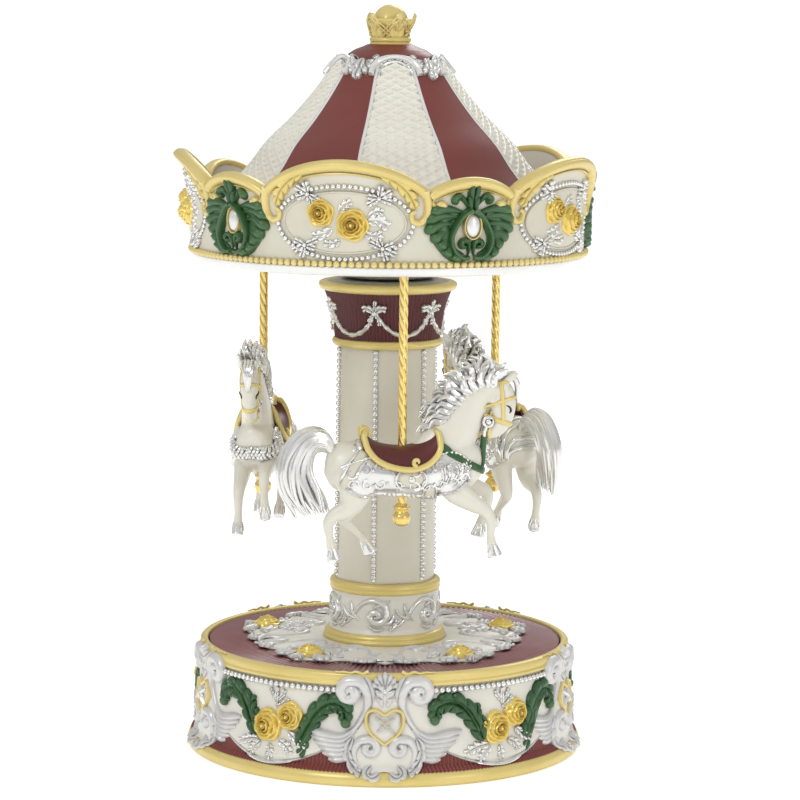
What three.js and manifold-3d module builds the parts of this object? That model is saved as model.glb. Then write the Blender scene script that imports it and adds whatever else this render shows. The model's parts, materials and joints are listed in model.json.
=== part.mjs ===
// Carousel music box: a wind-up movement in a round base turns a canopy with three horses on poles.
// Millimetres, +Z up, front towards -Y. The origin is the centre of the base on the surface it stands on.
import * as THREE from "three";
import { mergeVertices } from "three/addons/utils/BufferGeometryUtils.js";
import Module from "manifold-3d";

const manifold = await Module();
manifold.setup();

// ---------- driving dimensions ----------
const GAP = 0.3; // clearance kept between neighbouring pieces
const TURN = 2 * Math.PI;

const BASE_RADIUS = 75; // gold rim the base stands on
const BASE_TOP = 41; // top of the deck's gold rim
const DRUM_INNER = 63;
const COVER_RADIUS = 68;
const COVER_BOTTOM = 13; // the cover is set up into the base so that the key clears the table
const COVER_THICK = 2;
const DRUM_ROOF_BOTTOM = 33;
const DECK_RADIUS = 67;
const DECK_BOTTOM = 37.3;
const DECK_TOP = 40.3;

const COLUMN_FOOT_TOP = 63.7;
const COLUMN_TOP = 153;
const CAPITAL_TOP = 178;
const LIP_BOTTOM = CAPITAL_TOP - 3.8; // lower edge of the capital's gold lip
const BUSH_BOTTOM = CAPITAL_TOP - 8.4;
const COLUMN_RADIUS = 19;

const SHAFT_RADIUS = 2;
const SHAFT_BOTTOM = 30.3;
const SHAFT_TOP = 191;
const SHAFT_BORE = SHAFT_RADIUS + GAP;

const HUB_BOTTOM = 178.8;
const HUB_TOP = 186.2;
const FLOOR_BOTTOM = 186.5;
const FLOOR_TOP = 189;
const VALANCE_BOTTOM = 185;
const VALANCE_RADIUS = 73.5;
const VALANCE_THICK = 2.9;
const VALANCE_BEND = 203; // the valance is upright below this height and flares above it
const SCALLOPS = 5; // pairs of one large and one small scallop
const LARGE_PEAK = 226;
const SMALL_PEAK = 220;
const VALLEY = 214;
const PAIR_SPAN = 360 / SCALLOPS; // degrees taken by a large and a small scallop
const LARGE_SPAN = 47;
const LARGE_START = -36.5; // degrees from the front towards +X
const LARGE_STEPS = 10;
const SMALL_STEPS = 6;
const ROOF_TOP = 264;
const CROWN_TOP = 281;

const POLE_COUNT = 3;
const POLE_CIRCLE = 52;
const POLE_RADIUS = 1.65;
const POLE_BORE = POLE_RADIUS + GAP;
const POLE_BOTTOM = 99;
const POLE_TOP = 192.5;
const FIRST_POLE = 6; // degrees from the front towards +X
const HORSE_TURN = [0, -11, 18]; // degrees each horse is fixed round its pole, off the line of travel

const MOVEMENT_BOTTOM = COVER_BOTTOM + COVER_THICK + GAP;
const BEDPLATE_TOP = MOVEMENT_BOTTOM + 1.7;
const BARREL_BOTTOM = BEDPLATE_TOP + 1.2;
const BARREL_TOP = 30;
const BARREL_RADIUS = 11.5;
const WHEEL_RADIUS = 16.2; // pitch radius of the crown teeth on the great wheel
const WHEEL_TEETH = 36;
const WHEEL_FACE = 1.6; // radial width of the crown teeth
const WHEEL_THICK = 1.4;
const CROWN_PITCH_HEIGHT = BARREL_BOTTOM + WHEEL_THICK + 0.8;
const PINION_TEETH = 9;
const PINION_RADIUS = (WHEEL_RADIUS * PINION_TEETH) / WHEEL_TEETH;
const CYLINDER_HEIGHT = CROWN_PITCH_HEIGHT + PINION_RADIUS;
const CYLINDER_RADIUS = 6;
const CYLINDER_START = 19.2;
const CYLINDER_LENGTH = 19;
const TRAIN_MODULE = 0.5;
const TRAIN_TEETH = 32;
const FLY_TEETH = 8;
const TRAIN_WHEEL_RADIUS = (TRAIN_MODULE * TRAIN_TEETH) / 2;
const FLY_PINION_RADIUS = (TRAIN_MODULE * FLY_TEETH) / 2;
const TRAIN_START = CYLINDER_START + CYLINDER_LENGTH;
const TRAIN_THICK = 1.5;
const FLY_Y = -(TRAIN_WHEEL_RADIUS + FLY_PINION_RADIUS);
const TOOTH_SHARE = 0.34; // tooth thickness at the pitch line as a share of the pitch
const COMB_TEETH = 18;

// ---------- finishes ----------
const finish = (color, roughness, metalness) => new THREE.MeshStandardMaterial({ color, roughness, metalness });
const CREAM = finish("#e4dfcb", 0.45, 0);
const MAROON = finish("#6d2a29", 0.5, 0);
const GOLD = finish("#d6bd6a", 0.4, 0.6);
const WHITE = finish("#efece2", 0.4, 0);
const BRASS = finish("#c9a24e", 0.35, 1);
const STEEL = finish("#b5b7ba", 0.35, 1);
const FELT = finish("#3f3a36", 0.9, 0);

const carousel = new THREE.Group();

// ---------- helpers ----------
/** A closed solid from any geometry, with shared vertices merged and faces turned outwards. */
function solidOf(geometry) {
  const bare = geometry.clone();
  bare.deleteAttribute("normal");
  bare.deleteAttribute("uv");
  const merged = mergeVertices(bare, 1e-4);
  const positions = merged.attributes.position.array;
  const corner = (i) => new THREE.Vector3().fromArray(positions, 3 * i);
  const kept = [];
  let volume = 0;
  for (let i = 0; i < merged.index.count; i += 3) {
    const [a, b, c] = [0, 1, 2].map((k) => merged.index.getX(i + k));
    if (a === b || b === c || c === a) continue;
    kept.push([a, b, c]);
    volume += corner(a).dot(corner(b).cross(corner(c)));
  }
  const outward = volume > 0 ? kept : kept.map(([a, b, c]) => [a, c, b]);
  const mesh = new manifold.Mesh({
    numProp: 3,
    vertProperties: new Float32Array(positions),
    triVerts: new Uint32Array(outward.flat()),
  });
  return new manifold.Manifold(mesh);
}

/** The geometry of a solid. */
function geometryOf(solid) {
  const mesh = solid.getMesh();
  const geometry = new THREE.BufferGeometry();
  geometry.setAttribute("position", new THREE.BufferAttribute(mesh.vertProperties, 3));
  geometry.setIndex(new THREE.BufferAttribute(mesh.triVerts, 1));
  geometry.computeVertexNormals();
  return geometry;
}

/** Adds one named piece to the model. */
function piece(name, solid, material, parent = carousel) {
  const mesh = new THREE.Mesh(geometryOf(solid), material);
  mesh.name = name;
  parent.add(mesh);
  return mesh;
}

const joined = (solids) => solids.reduce((sum, solid) => sum.add(solid));

/** A solid of revolution about Z from [radius, height] points; a profile off the axis is closed on itself. */
function turned(profile, segments) {
  const onAxis = profile[0][0] === 0 && profile.at(-1)[0] === 0;
  const outline = onAxis ? profile : [...profile, profile[0]];
  const points = outline.map(([r, z]) => new THREE.Vector2(r, z));
  return solidOf(new THREE.LatheGeometry(points, segments).rotateX(Math.PI / 2));
}

/** A plain cylinder about Z between two heights. */
const rod = (radius, bottom, top, segments = 24) =>
  turned([[0, bottom], [radius, bottom], [radius, top], [0, top]], segments);

/** A tube about Z between two heights. */
const ring = (inner, outer, bottom, top, segments = 32) =>
  turned([[inner, bottom], [outer, bottom], [outer, top], [inner, top]], segments);

/** A solid turned about Z, laid along +X from x = start at the given y and z. */
const alongX = (solid, start, y, z) => solid.rotate([0, 90, 0]).translate([start, y, z]);

/** A flat plate of the given outline and round holes [x, y, radius], between two heights. */
function plate(outline, holes, bottom, top, holeSegments = 8) {
  const shape = new THREE.Shape(outline.map(([x, y]) => new THREE.Vector2(x, y)));
  for (const [x, y, radius] of holes) {
    const hole = new THREE.Path();
    hole.absarc(x, y, radius, 0, TURN, true);
    shape.holes.push(hole);
  }
  const geometry = new THREE.ExtrudeGeometry(shape, {
    depth: top - bottom,
    bevelEnabled: false,
    curveSegments: holeSegments,
  });
  return solidOf(geometry.translate(0, 0, bottom));
}

const rectangle = (x0, x1, y0, y1) => [[x0, y0], [x1, y0], [x1, y1], [x0, y1]];

/** A block between two corners. */
const block = (x0, x1, y0, y1, z0, z1) => plate(rectangle(x0, x1, y0, y1), [], z0, z1);

/** The place on a circle at an angle in degrees from the front (-Y) towards +X. */
function onCircle(radius, degrees) {
  const angle = THREE.MathUtils.degToRad(degrees);
  return [radius * Math.sin(angle), -radius * Math.cos(angle)];
}

/** A straight-sided gear of the given pitch radius, turned about Z. */
function spurGear(teeth, pitchRadius, addendum, dedendum, thick) {
  const pitch = TURN / teeth;
  const outline = [];
  for (let i = 0; i < teeth; i += 1) {
    const middle = i * pitch;
    const half = (TOOTH_SHARE * pitch) / 2;
    const tip = half * 0.55;
    const root = half * 1.4;
    const corners = [
      [pitchRadius - dedendum, -root],
      [pitchRadius + addendum, -tip],
      [pitchRadius + addendum, tip],
      [pitchRadius - dedendum, root],
    ];
    for (const [radius, offset] of corners) {
      outline.push([radius * Math.cos(middle + offset), radius * Math.sin(middle + offset)]);
    }
  }
  return plate(outline, [], 0, thick);
}

/** A closed tube of elliptical sections: stations are [x, y, z, half width along Y, half height]. */
function loft(stations, sides = 10) {
  const centres = stations.map(([x, y, z]) => new THREE.Vector3(x, y, z));
  const positions = [];
  const index = [];
  stations.forEach(([, , , halfWidth, halfHeight], i) => {
    const before = centres[Math.max(i - 1, 0)];
    const after = centres[Math.min(i + 1, stations.length - 1)];
    const along = after.clone().sub(before).normalize();
    const side = new THREE.Vector3(0, 1, 0).addScaledVector(along, -along.y).normalize();
    const up = along.clone().cross(side);
    for (let k = 0; k < sides; k += 1) {
      const turn = (TURN * k) / sides;
      const point = centres[i].clone();
      point.addScaledVector(side, halfWidth * Math.cos(turn));
      point.addScaledVector(up, halfHeight * Math.sin(turn));
      positions.push(...point.toArray());
    }
  });
  const ringOf = (i, k) => i * sides + (k % sides);
  for (let i = 0; i + 1 < stations.length; i += 1) {
    for (let k = 0; k < sides; k += 1) {
      index.push(ringOf(i, k), ringOf(i, k + 1), ringOf(i + 1, k));
      index.push(ringOf(i, k + 1), ringOf(i + 1, k + 1), ringOf(i + 1, k));
    }
  }
  const last = stations.length - 1;
  const [start, end] = [positions.length / 3, positions.length / 3 + 1];
  positions.push(...centres[0].toArray(), ...centres[last].toArray());
  for (let k = 0; k < sides; k += 1) {
    index.push(start, ringOf(0, k + 1), ringOf(0, k));
    index.push(end, ringOf(last, k), ringOf(last, k + 1));
  }
  const geometry = new THREE.BufferGeometry();
  geometry.setAttribute("position", new THREE.Float32BufferAttribute(positions, 3));
  geometry.setIndex(index);
  return solidOf(geometry);
}

// ---------- base ----------
function baseDrum() {
  const body = turned(
    [
      [COVER_RADIUS + GAP, 0], [BASE_RADIUS, 0], [BASE_RADIUS, 3.6], [73, 5.4], [71, 7], [69.4, 32.5],
      [69.9, 33.2], [69.9, BASE_TOP], [DECK_RADIUS + GAP, BASE_TOP], [DECK_RADIUS + GAP, DECK_BOTTOM - GAP],
      [12, DECK_BOTTOM - GAP], [12, DRUM_ROOF_BOTTOM], [DRUM_INNER, DRUM_ROOF_BOTTOM],
      [DRUM_INNER, MOVEMENT_BOTTOM], [COVER_RADIUS + GAP, MOVEMENT_BOTTOM],
    ],
    40,
  );
  const pilots = coverScrewPlaces().map(([x, y]) => rod(1.5, COVER_BOTTOM, 24, 10).translate([x, y, 0]));
  return body.subtract(joined(pilots));
}

function coverScrewPlaces() {
  return [60, 180, 300].map((degrees) => onCircle(65.5, degrees));
}

function baseCover() {
  const disc = ring(3, COVER_RADIUS, COVER_BOTTOM, COVER_BOTTOM + COVER_THICK, 40);
  const holes = [...coverScrewPlaces(), ...MOVEMENT_SCREWS];
  return disc.subtract(joined(holes.map(([x, y]) => rod(1.5, 10, 17, 10).translate([x, y, 0]))));
}

/** A pan-headed screw pointing up, its head under the given height. */
function screwUp(headTop, length) {
  const shank = headTop + length;
  return turned([[0, headTop - 1.5], [1.9, headTop - 1.5], [2.3, headTop - 0.6], [2.3, headTop],
    [1.1, headTop], [1.1, shank], [0, shank]], 12);
}

/** A pan-headed screw pointing down, its head on the given height. */
function screwDown(headBottom, length) {
  const shank = headBottom - length;
  return turned([[0, shank], [1.1, shank], [1.1, headBottom], [2.3, headBottom],
    [2.3, headBottom + 0.6], [1.9, headBottom + 1.3], [0, headBottom + 1.3]], 12);
}

const MOVEMENT_SCREWS = [[-15, 18], [-15, -11], [44, 18]];

piece("base_drum", baseDrum(), CREAM);
piece("deck_plate", ring(3.2, DECK_RADIUS, DECK_BOTTOM, DECK_TOP, 40), MAROON);
piece("bottom_cover", baseCover(), FELT);
coverScrewPlaces().forEach(([x, y], i) => {
  piece(`cover_screw_${i + 1}`, screwUp(COVER_BOTTOM - GAP, 9).translate([x, y, 0]), STEEL);
});

// ---------- column ----------
function columnFoot() {
  return turned(
    [
      [3.2, DECK_TOP + GAP], [23.2, DECK_TOP + GAP], [23.2, 43.2], [22, 44.4], [20.8, 45], [20.4, 50], [21, 56],
      [20.4, 58.8], [20.6, 60.2], [20.6, COLUMN_FOOT_TOP], [3.2, COLUMN_FOOT_TOP],
    ],
    28,
  );
}

function columnCapital() {
  return turned(
    [
      [16.3, COLUMN_TOP + GAP], [20.3, COLUMN_TOP + GAP], [20.3, COLUMN_TOP + 2], [20, COLUMN_TOP + 3],
      [20.9, COLUMN_TOP + 10], [23.8, LIP_BOTTOM - 0.6], [25.8, LIP_BOTTOM + 0.2], [26.2, LIP_BOTTOM + 2.2],
      [24.8, LIP_BOTTOM + 3], [19, CAPITAL_TOP], [4, CAPITAL_TOP], [4, BUSH_BOTTOM + 1.4], [16.3, BUSH_BOTTOM - 0.6],
    ],
    28,
  );
}

function topBush() {
  return turned(
    [
      [SHAFT_BORE, BUSH_BOTTOM], [6, BUSH_BOTTOM], [6, BUSH_BOTTOM + 0.7], [3.7, BUSH_BOTTOM + 1],
      [3.7, CAPITAL_TOP - 0.1], [SHAFT_BORE, CAPITAL_TOP - 0.1],
    ],
    24,
  );
}

const columnWall = turned(
  [[16.3, COLUMN_FOOT_TOP + GAP], [COLUMN_RADIUS + 0.5, COLUMN_FOOT_TOP + GAP], [COLUMN_RADIUS, COLUMN_TOP],
    [16.3, COLUMN_TOP]],
  32,
);
piece("column_foot", columnFoot(), CREAM);
piece("column_shell", columnWall, CREAM);
piece("column_capital", columnCapital(), MAROON);
piece("shaft_bush", topBush(), BRASS);

// ---------- movement: bedplate, comb and brackets ----------
const CYLINDER_END = TRAIN_START + TRAIN_THICK;
const TRAIN_BRACKET_X = CYLINDER_END + 0.7;

function bedplate() {
  const holes = [[0, 0, 3], ...MOVEMENT_SCREWS.map(([x, y]) => [x, y, 1.5])];
  const sheet = plate(rectangle(-20, 48, -14, 25), holes, MOVEMENT_BOTTOM, BEDPLATE_TOP, 6);
  const [start, end] = [TRAIN_START - 0.5, TRAIN_START + TRAIN_THICK + 0.5];
  return sheet.subtract(block(start, end, -6, 6, MOVEMENT_BOTTOM - 1, BEDPLATE_TOP + 1)); // room for the wheel
}

/** An upright bearing plate across X, with round holes [y, z, radius]. */
function bearingPlate(x, thick, y0, y1, top, holes) {
  const foot = BEDPLATE_TOP + GAP;
  const outline = plate(rectangle(y0, y1, foot, top), holes, 0, thick, 6);
  return outline.rotate([90, 0, 90]).translate([x, 0, 0]);
}

const COMB_SCREWS = [[23, 19.5], [34.4, 19.5]];
const COMB_BOTTOM = CYLINDER_HEIGHT - 0.4;

function steelComb() {
  const [tip, root, back] = [CYLINDER_RADIUS + 1.1, 15.5, 23.5];
  const pitch = (CYLINDER_LENGTH - 1) / COMB_TEETH;
  const slot = pitch * 0.3;
  const start = CYLINDER_START + 0.5;
  const outline = [[start, back], [start, tip]];
  for (let i = 1; i < COMB_TEETH; i += 1) {
    const x = start + i * pitch;
    outline.push([x - slot / 2, tip], [x - slot / 2, root], [x + slot / 2, root], [x + slot / 2, tip]);
  }
  const end = start + COMB_TEETH * pitch;
  outline.push([end, tip], [end, back]);
  return plate(outline, COMB_SCREWS.map(([x, y]) => [x, y, 1.5]), COMB_BOTTOM, COMB_BOTTOM + 0.8, 6);
}

const combBlock = plate(
  rectangle(CYLINDER_START + 0.5, TRAIN_START - 0.5, 15.8, 23.5),
  COMB_SCREWS.map(([x, y]) => [x, y, 1.5]),
  BEDPLATE_TOP + GAP,
  COMB_BOTTOM - GAP,
  6,
);
piece("movement_bedplate", bedplate(), BRASS);
piece("comb_block", combBlock, BRASS);
piece("steel_comb", steelComb(), STEEL);
COMB_SCREWS.forEach(([x, y], i) => {
  piece(`comb_screw_${i + 1}`, screwDown(COMB_BOTTOM + 0.8 + GAP, 5).translate([x, y, 0]), STEEL);
});
MOVEMENT_SCREWS.forEach(([x, y], i) => {
  piece(`movement_screw_${i + 1}`, screwUp(COVER_BOTTOM - GAP, 5.4).translate([x, y, 0]), STEEL);
});
const innerBearing = bearingPlate(17.5, 1, -4, 4, 28, [[0, CYLINDER_HEIGHT, 1.3]]);
const outerHoles = [[0, CYLINDER_HEIGHT, 1.3], [FLY_Y, CYLINDER_HEIGHT, 1.1]];
const outerBearing = bearingPlate(TRAIN_BRACKET_X, 1, FLY_Y - 3, 4, 28, outerHoles);
piece("cylinder_bearing", innerBearing, BRASS);
piece("train_bearing", outerBearing, BRASS);

// ---------- movement: spring barrel, cylinder and governor ----------
function springBarrel() {
  const wheelTop = BARREL_BOTTOM + WHEEL_THICK;
  const wheelRim = WHEEL_RADIUS + WHEEL_FACE / 2;
  const cup = turned(
    [
      [BARREL_RADIUS - 1, BARREL_BOTTOM], [wheelRim, BARREL_BOTTOM], [wheelRim, wheelTop],
      [BARREL_RADIUS, wheelTop], [BARREL_RADIUS, BARREL_TOP], [1, BARREL_TOP], [1, BARREL_TOP - 1],
      [BARREL_RADIUS - 1, BARREL_TOP - 1],
    ],
    28,
  );
  const pitch = (TURN * WHEEL_RADIUS) / WHEEL_TEETH;
  const [foot, tip] = [TOOTH_SHARE * pitch * 0.65, TOOTH_SHARE * pitch * 0.25];
  const height = 2 * (CROWN_PITCH_HEIGHT - wheelTop) - 0.2;
  const tooth = plate([[-foot, -0.2], [foot, -0.2], [tip, height], [-tip, height]], [], 0, WHEEL_FACE)
    .rotate([90, 0, 90])
    .translate([WHEEL_RADIUS - WHEEL_FACE / 2, 0, wheelTop]);
  const teeth = [];
  for (let i = 0; i < WHEEL_TEETH; i += 1) {
    teeth.push(tooth.rotate([0, 0, ((i + 0.5) * 360) / WHEEL_TEETH]));
  }
  return cup.add(joined(teeth));
}

/** The coiled mainspring: a flat strip on a spiral between the arbor and the barrel wall. */
function mainspring() {
  const [turns, steps, inner, outer, half] = [4, 56, 3.4, 9.4, 0.3];
  const wall = (offset) =>
    Array.from({ length: steps + 1 }, (_, i) => {
      const angle = (TURN * turns * i) / steps;
      const radius = inner + ((outer - inner) * i) / steps + offset;
      return [radius * Math.cos(angle), radius * Math.sin(angle)];
    });
  return plate([...wall(half), ...wall(-half).reverse()], [], BARREL_BOTTOM + 1, BARREL_TOP - 1.6);
}

function pinCylinder() {
  const arborStart = WHEEL_RADIUS - WHEEL_FACE / 2;
  const arbor = alongX(rod(1, 0, TRAIN_BRACKET_X + 2 - arborStart, 12), arborStart, 0, 0);
  const body = alongX(rod(CYLINDER_RADIUS, 0, CYLINDER_LENGTH, 20), CYLINDER_START, 0, 0);
  const pinion = alongX(spurGear(PINION_TEETH, PINION_RADIUS, 0.6, 0.9, WHEEL_FACE), arborStart, 0, 0);
  const wheel = alongX(spurGear(TRAIN_TEETH, TRAIN_WHEEL_RADIUS, 0.35, 0.55, TRAIN_THICK), TRAIN_START, 0, 0);
  const pins = [];
  for (let note = 0; note < COMB_TEETH; note += 1) {
    const x = CYLINDER_START + 0.5 + ((note + 0.5) * (CYLINDER_LENGTH - 1)) / COMB_TEETH;
    const pin = block(x - 0.15, x + 0.15, -0.15, 0.15, CYLINDER_RADIUS - 0.4, CYLINDER_RADIUS + 0.5);
    pins.push(pin.rotate([25 + ((note * 7) % 23) * 14.2, 0, 0]));
  }
  return joined([arbor, body, pinion, wheel, ...pins]).translate([0, 0, CYLINDER_HEIGHT]);
}

function governorFly() {
  const arbor = alongX(rod(0.8, 0, TRAIN_BRACKET_X + 8 - TRAIN_START, 10), TRAIN_START, 0, 0);
  const turnToMesh = 180 / FLY_TEETH; // a gap faces the cylinder wheel's tooth
  const pinion = alongX(spurGear(FLY_TEETH, FLY_PINION_RADIUS, 0.35, 0.55, TRAIN_THICK), TRAIN_START, 0, 0);
  const blades = block(TRAIN_BRACKET_X + 1.8, TRAIN_BRACKET_X + 6.8, -5, 5, -0.3, 0.3);
  const toothAhead = pinion.rotate([turnToMesh + 90, 0, 0]);
  return joined([arbor, toothAhead, blades]).translate([0, FLY_Y, CYLINDER_HEIGHT]);
}

function windingKey() {
  const [wing, reach, bottom] = [4.2, 8.4, 2.4];
  const shape = new THREE.Shape();
  shape.absarc(-reach, bottom + wing, wing, 1.5 * Math.PI, 0.5 * Math.PI, true);
  shape.absarc(reach, bottom + wing, wing, 0.5 * Math.PI, -0.5 * Math.PI, true);
  const options = { depth: 2, bevelEnabled: false, curveSegments: 10 };
  const grip = solidOf(new THREE.ExtrudeGeometry(shape, options).rotateX(Math.PI / 2).translate(0, 1, 0));
  return grip.add(rod(2.8, 4, COVER_BOTTOM - 2 * GAP, 16));
}

piece("spring_barrel", springBarrel(), BRASS);
piece("mainspring", mainspring(), STEEL);
piece("pin_cylinder", pinCylinder(), BRASS);
piece("governor_fly", governorFly(), STEEL);
piece("winding_arbor", rod(2.2, COVER_BOTTOM - GAP, BARREL_TOP - 2, 16), STEEL);
piece("winding_key", windingKey(), STEEL);

// ---------- turning part: shaft, hub and canopy ----------
/** The valance's sections round the canopy, as [degrees, height of the top edge]: large and small scallops. */
function scallopSections() {
  const sections = [];
  const arch = (start, span, peak, steps) => {
    for (let i = 0; i < steps; i += 1) {
      const place = i / steps;
      sections.push([start + span * place, VALLEY + (peak - VALLEY) * Math.sin(Math.PI * place) ** 0.65]);
    }
  };
  for (let pair = 0; pair < SCALLOPS; pair += 1) {
    const start = LARGE_START + pair * PAIR_SPAN;
    arch(start, LARGE_SPAN, LARGE_PEAK, LARGE_STEPS);
    arch(start + LARGE_SPAN, PAIR_SPAN - LARGE_SPAN, SMALL_PEAK, SMALL_STEPS);
  }
  return sections;
}

/** Outer radius of the valance at a height: upright below, flared towards the top edge. */
function valanceRadius(height) {
  const rise = Math.max(height - VALANCE_BEND, 0) / (LARGE_PEAK - VALANCE_BEND);
  return VALANCE_RADIUS + 6.3 * rise ** 1.8;
}

function valanceRing() {
  const outline = (top) => {
    const bend = (VALANCE_BEND + top) / 2;
    const outer = [188, VALANCE_BEND, bend, top].map((z) => [valanceRadius(z), z]);
    const inner = [top, bend, VALANCE_BOTTOM].map((z) => [valanceRadius(z) - VALANCE_THICK, z]);
    return [[VALANCE_RADIUS - 1.4, VALANCE_BOTTOM], ...outer, ...inner];
  };
  const sections = scallopSections();
  const count = outline(VALLEY).length;
  const positions = [];
  const index = [];
  sections.forEach(([degrees, top], i) => {
    const next = (i + 1) % sections.length;
    outline(top).forEach(([radius, z], k) => {
      positions.push(...onCircle(radius, degrees), z);
      const [a, b] = [i * count + k, i * count + ((k + 1) % count)];
      const [c, d] = [next * count + k, next * count + ((k + 1) % count)];
      index.push(a, c, b, b, c, d);
    });
  });
  const geometry = new THREE.BufferGeometry();
  geometry.setAttribute("position", new THREE.Float32BufferAttribute(positions, 3));
  geometry.setIndex(index);
  return solidOf(geometry);
}

function polePlaces() {
  return Array.from({ length: POLE_COUNT }, (_, i) => FIRST_POLE + (360 * i) / POLE_COUNT);
}

function canopyFloor() {
  const disc = ring(SHAFT_BORE, VALANCE_RADIUS - VALANCE_THICK - GAP, FLOOR_BOTTOM, FLOOR_TOP, 48);
  const holes = polePlaces().map((degrees) => {
    const [x, y] = onCircle(POLE_CIRCLE, degrees);
    return rod(POLE_BORE, FLOOR_BOTTOM - 1, FLOOR_TOP + 1, 16).translate([x, y, 0]);
  });
  return disc.subtract(joined(holes));
}

function roofShell() {
  const outside = [
    [70.1, 203.6], [66, 207], [59, 213], [52, 220.5], [45.5, 229], [36.4, 238], [28.6, 247], [21.8, 256],
    [17.2, 260.6], [10, ROOF_TOP],
  ];
  const inside = [[3.6, ROOF_TOP], [3.6, ROOF_TOP - 2.6], [15, 258], [26, 245.6], [43, 227.4], [66.6, 202.6]];
  return turned([...outside, ...inside], 36);
}

function crownFinial() {
  return turned(
    [
      [0, 259], [3.2, 259], [3.2, ROOF_TOP + GAP], [7.4, ROOF_TOP + GAP], [7.8, 266.4], [7, 267.6], [7.6, 270],
      [8.9, 275], [8.6, 276.4], [6.4, 278.4], [3.4, 280.4], [0, CROWN_TOP],
    ],
    20,
  );
}

piece("drive_shaft", rod(SHAFT_RADIUS, SHAFT_BOTTOM, SHAFT_TOP, 24), STEEL);
piece("canopy_hub", ring(SHAFT_BORE, 18, HUB_BOTTOM, HUB_TOP, 32), WHITE);
piece("canopy_floor", canopyFloor(), WHITE);
piece("valance_ring", valanceRing(), CREAM);
piece("roof_shell", roofShell(), MAROON);
piece("crown_finial", crownFinial(), GOLD);

// ---------- turning part: poles and horses ----------
/** A galloping horse facing +X round a pole at the origin, heights as on the finished object. */
function horse() {
  const trunk = loft([
    [-25, 0, 112, 2.5, 3.5], [-22, 0, 113, 7, 8], [-14, 0, 112.6, 8.6, 9.8], [-4, 0, 111.6, 8.2, 8.6],
    [6, 0, 111.8, 8.2, 8.8], [16, 0, 113.6, 8.4, 10.4], [24, 0, 115.6, 7.4, 9], [29, 0, 116, 3.5, 4.5],
  ]);
  const neck = loft([
    [16, 0, 116, 6.6, 9.5], [21, 0, 125, 5.6, 8.8], [26, 0, 133, 4.8, 7.6], [30, 0, 140, 4.2, 6.4],
    [33, 0, 144.6, 3.2, 4],
  ], 8);
  const head = loft([
    [32.4, 0, 145.6, 2.6, 2.6], [35.6, 0, 142, 4, 4.8], [37, 0, 136.4, 4.2, 5.2], [36.8, 0, 130.6, 3.4, 4.2],
    [35.6, 0, 126.2, 3, 3.4], [35, 0, 123.8, 1.8, 2],
  ], 8);
  const mane = loft([
    [36, 0, 147, 2.4, 3], [29, 0, 150.4, 3.4, 5], [19, 0, 146, 3.8, 7.6], [13.4, 0, 137, 3.8, 7],
    [12.6, 0, 127, 3.2, 4.4],
  ], 6);
  const tail = loft([
    [-22, 0, 118, 2.6, 3], [-29, 0, 126, 3.6, 4], [-37.6, 0, 124.6, 4, 5], [-40.6, 0, 114, 4.2, 5],
    [-37, 0, 103, 4, 5.6], [-33.6, 0, 96, 2.4, 3],
  ], 6);
  const saddle = loft([
    [-14, 0, 123.6, 5, 2.6], [-8, 0, 119, 8.8, 3.2], [2, 0, 118.4, 9.2, 3.2], [10, 0, 122.4, 7.4, 3.6],
    [13, 0, 126, 4, 2.2],
  ], 8);
  const limbs = [
    [[-17, -4.6, 106, 5, 7], [-20.4, -5, 98, 3.4, 4.6], [-27.4, -5, 96.6, 2.2, 2.4], [-26.4, -5, 86.4, 1.7, 1.8],
      [-26, -5, 82.2, 2.2, 2.4]],
    [[-15, 4.6, 106, 5, 7], [-19.4, 5, 95.4, 3, 3.8], [-13.4, 5, 88.6, 1.8, 2], [-11.4, 5, 83, 2.2, 2.4]],
    [[14, -4.6, 107.6, 4, 6], [24, -5, 100.4, 3, 3.6], [31.4, -5, 96.4, 2.3, 2.6], [33.6, -5, 86, 1.7, 1.8],
      [33.8, -5, 82.2, 2.2, 2.4]],
    [[18, 4.6, 108.6, 4, 6], [26, 5, 105, 2.8, 3.4], [31.8, 5, 103.6, 2.2, 2.4], [29.6, 5, 91.4, 1.7, 1.8],
      [29, 5, 87.2, 2.2, 2.4]],
  ].map((stations) => loft(stations, 6));
  return joined([trunk, neck, head, mane, tail, saddle, ...limbs]);
}

const poleRod = rod(POLE_RADIUS, POLE_BOTTOM, POLE_TOP, 16);
const horseSolid = horse();
const poleTip = turned(
  [
    [POLE_BORE, POLE_BOTTOM + 0.2], [3.2, POLE_BOTTOM + 0.2], [3.2, POLE_BOTTOM - 0.8], [2.3, POLE_BOTTOM - 1.4],
    [3.2, POLE_BOTTOM - 3], [3.3, POLE_BOTTOM - 4.6], [2.2, POLE_BOTTOM - 6.6], [0, POLE_BOTTOM - 7.2],
    [0, POLE_BOTTOM - GAP], [POLE_BORE, POLE_BOTTOM - GAP],
  ],
  16,
);
const poleNut = ring(POLE_BORE, 3.6, FLOOR_TOP + GAP, FLOOR_TOP + GAP + 2.4, 6);

/** The horse turned on its pole, with the bore cut after the turn so that it matches the pole. */
function turnedHorse(degrees) {
  return horseSolid.rotate([0, 0, degrees]).subtract(rod(POLE_BORE, 60, 170, 16));
}

polePlaces().forEach((degrees, i) => {
  const place = new THREE.Group();
  const [x, y] = onCircle(POLE_CIRCLE, degrees);
  place.position.set(x, y, 0);
  place.rotation.z = THREE.MathUtils.degToRad(degrees);
  piece(`pole_${i + 1}`, poleRod, GOLD, place);
  piece(`horse_${i + 1}`, turnedHorse(HORSE_TURN[i]), WHITE, place);
  piece(`pole_tip_${i + 1}`, poleTip, GOLD, place);
  piece(`pole_nut_${i + 1}`, poleNut, BRASS, place);
  carousel.add(place);
});

export default carousel;
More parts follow.
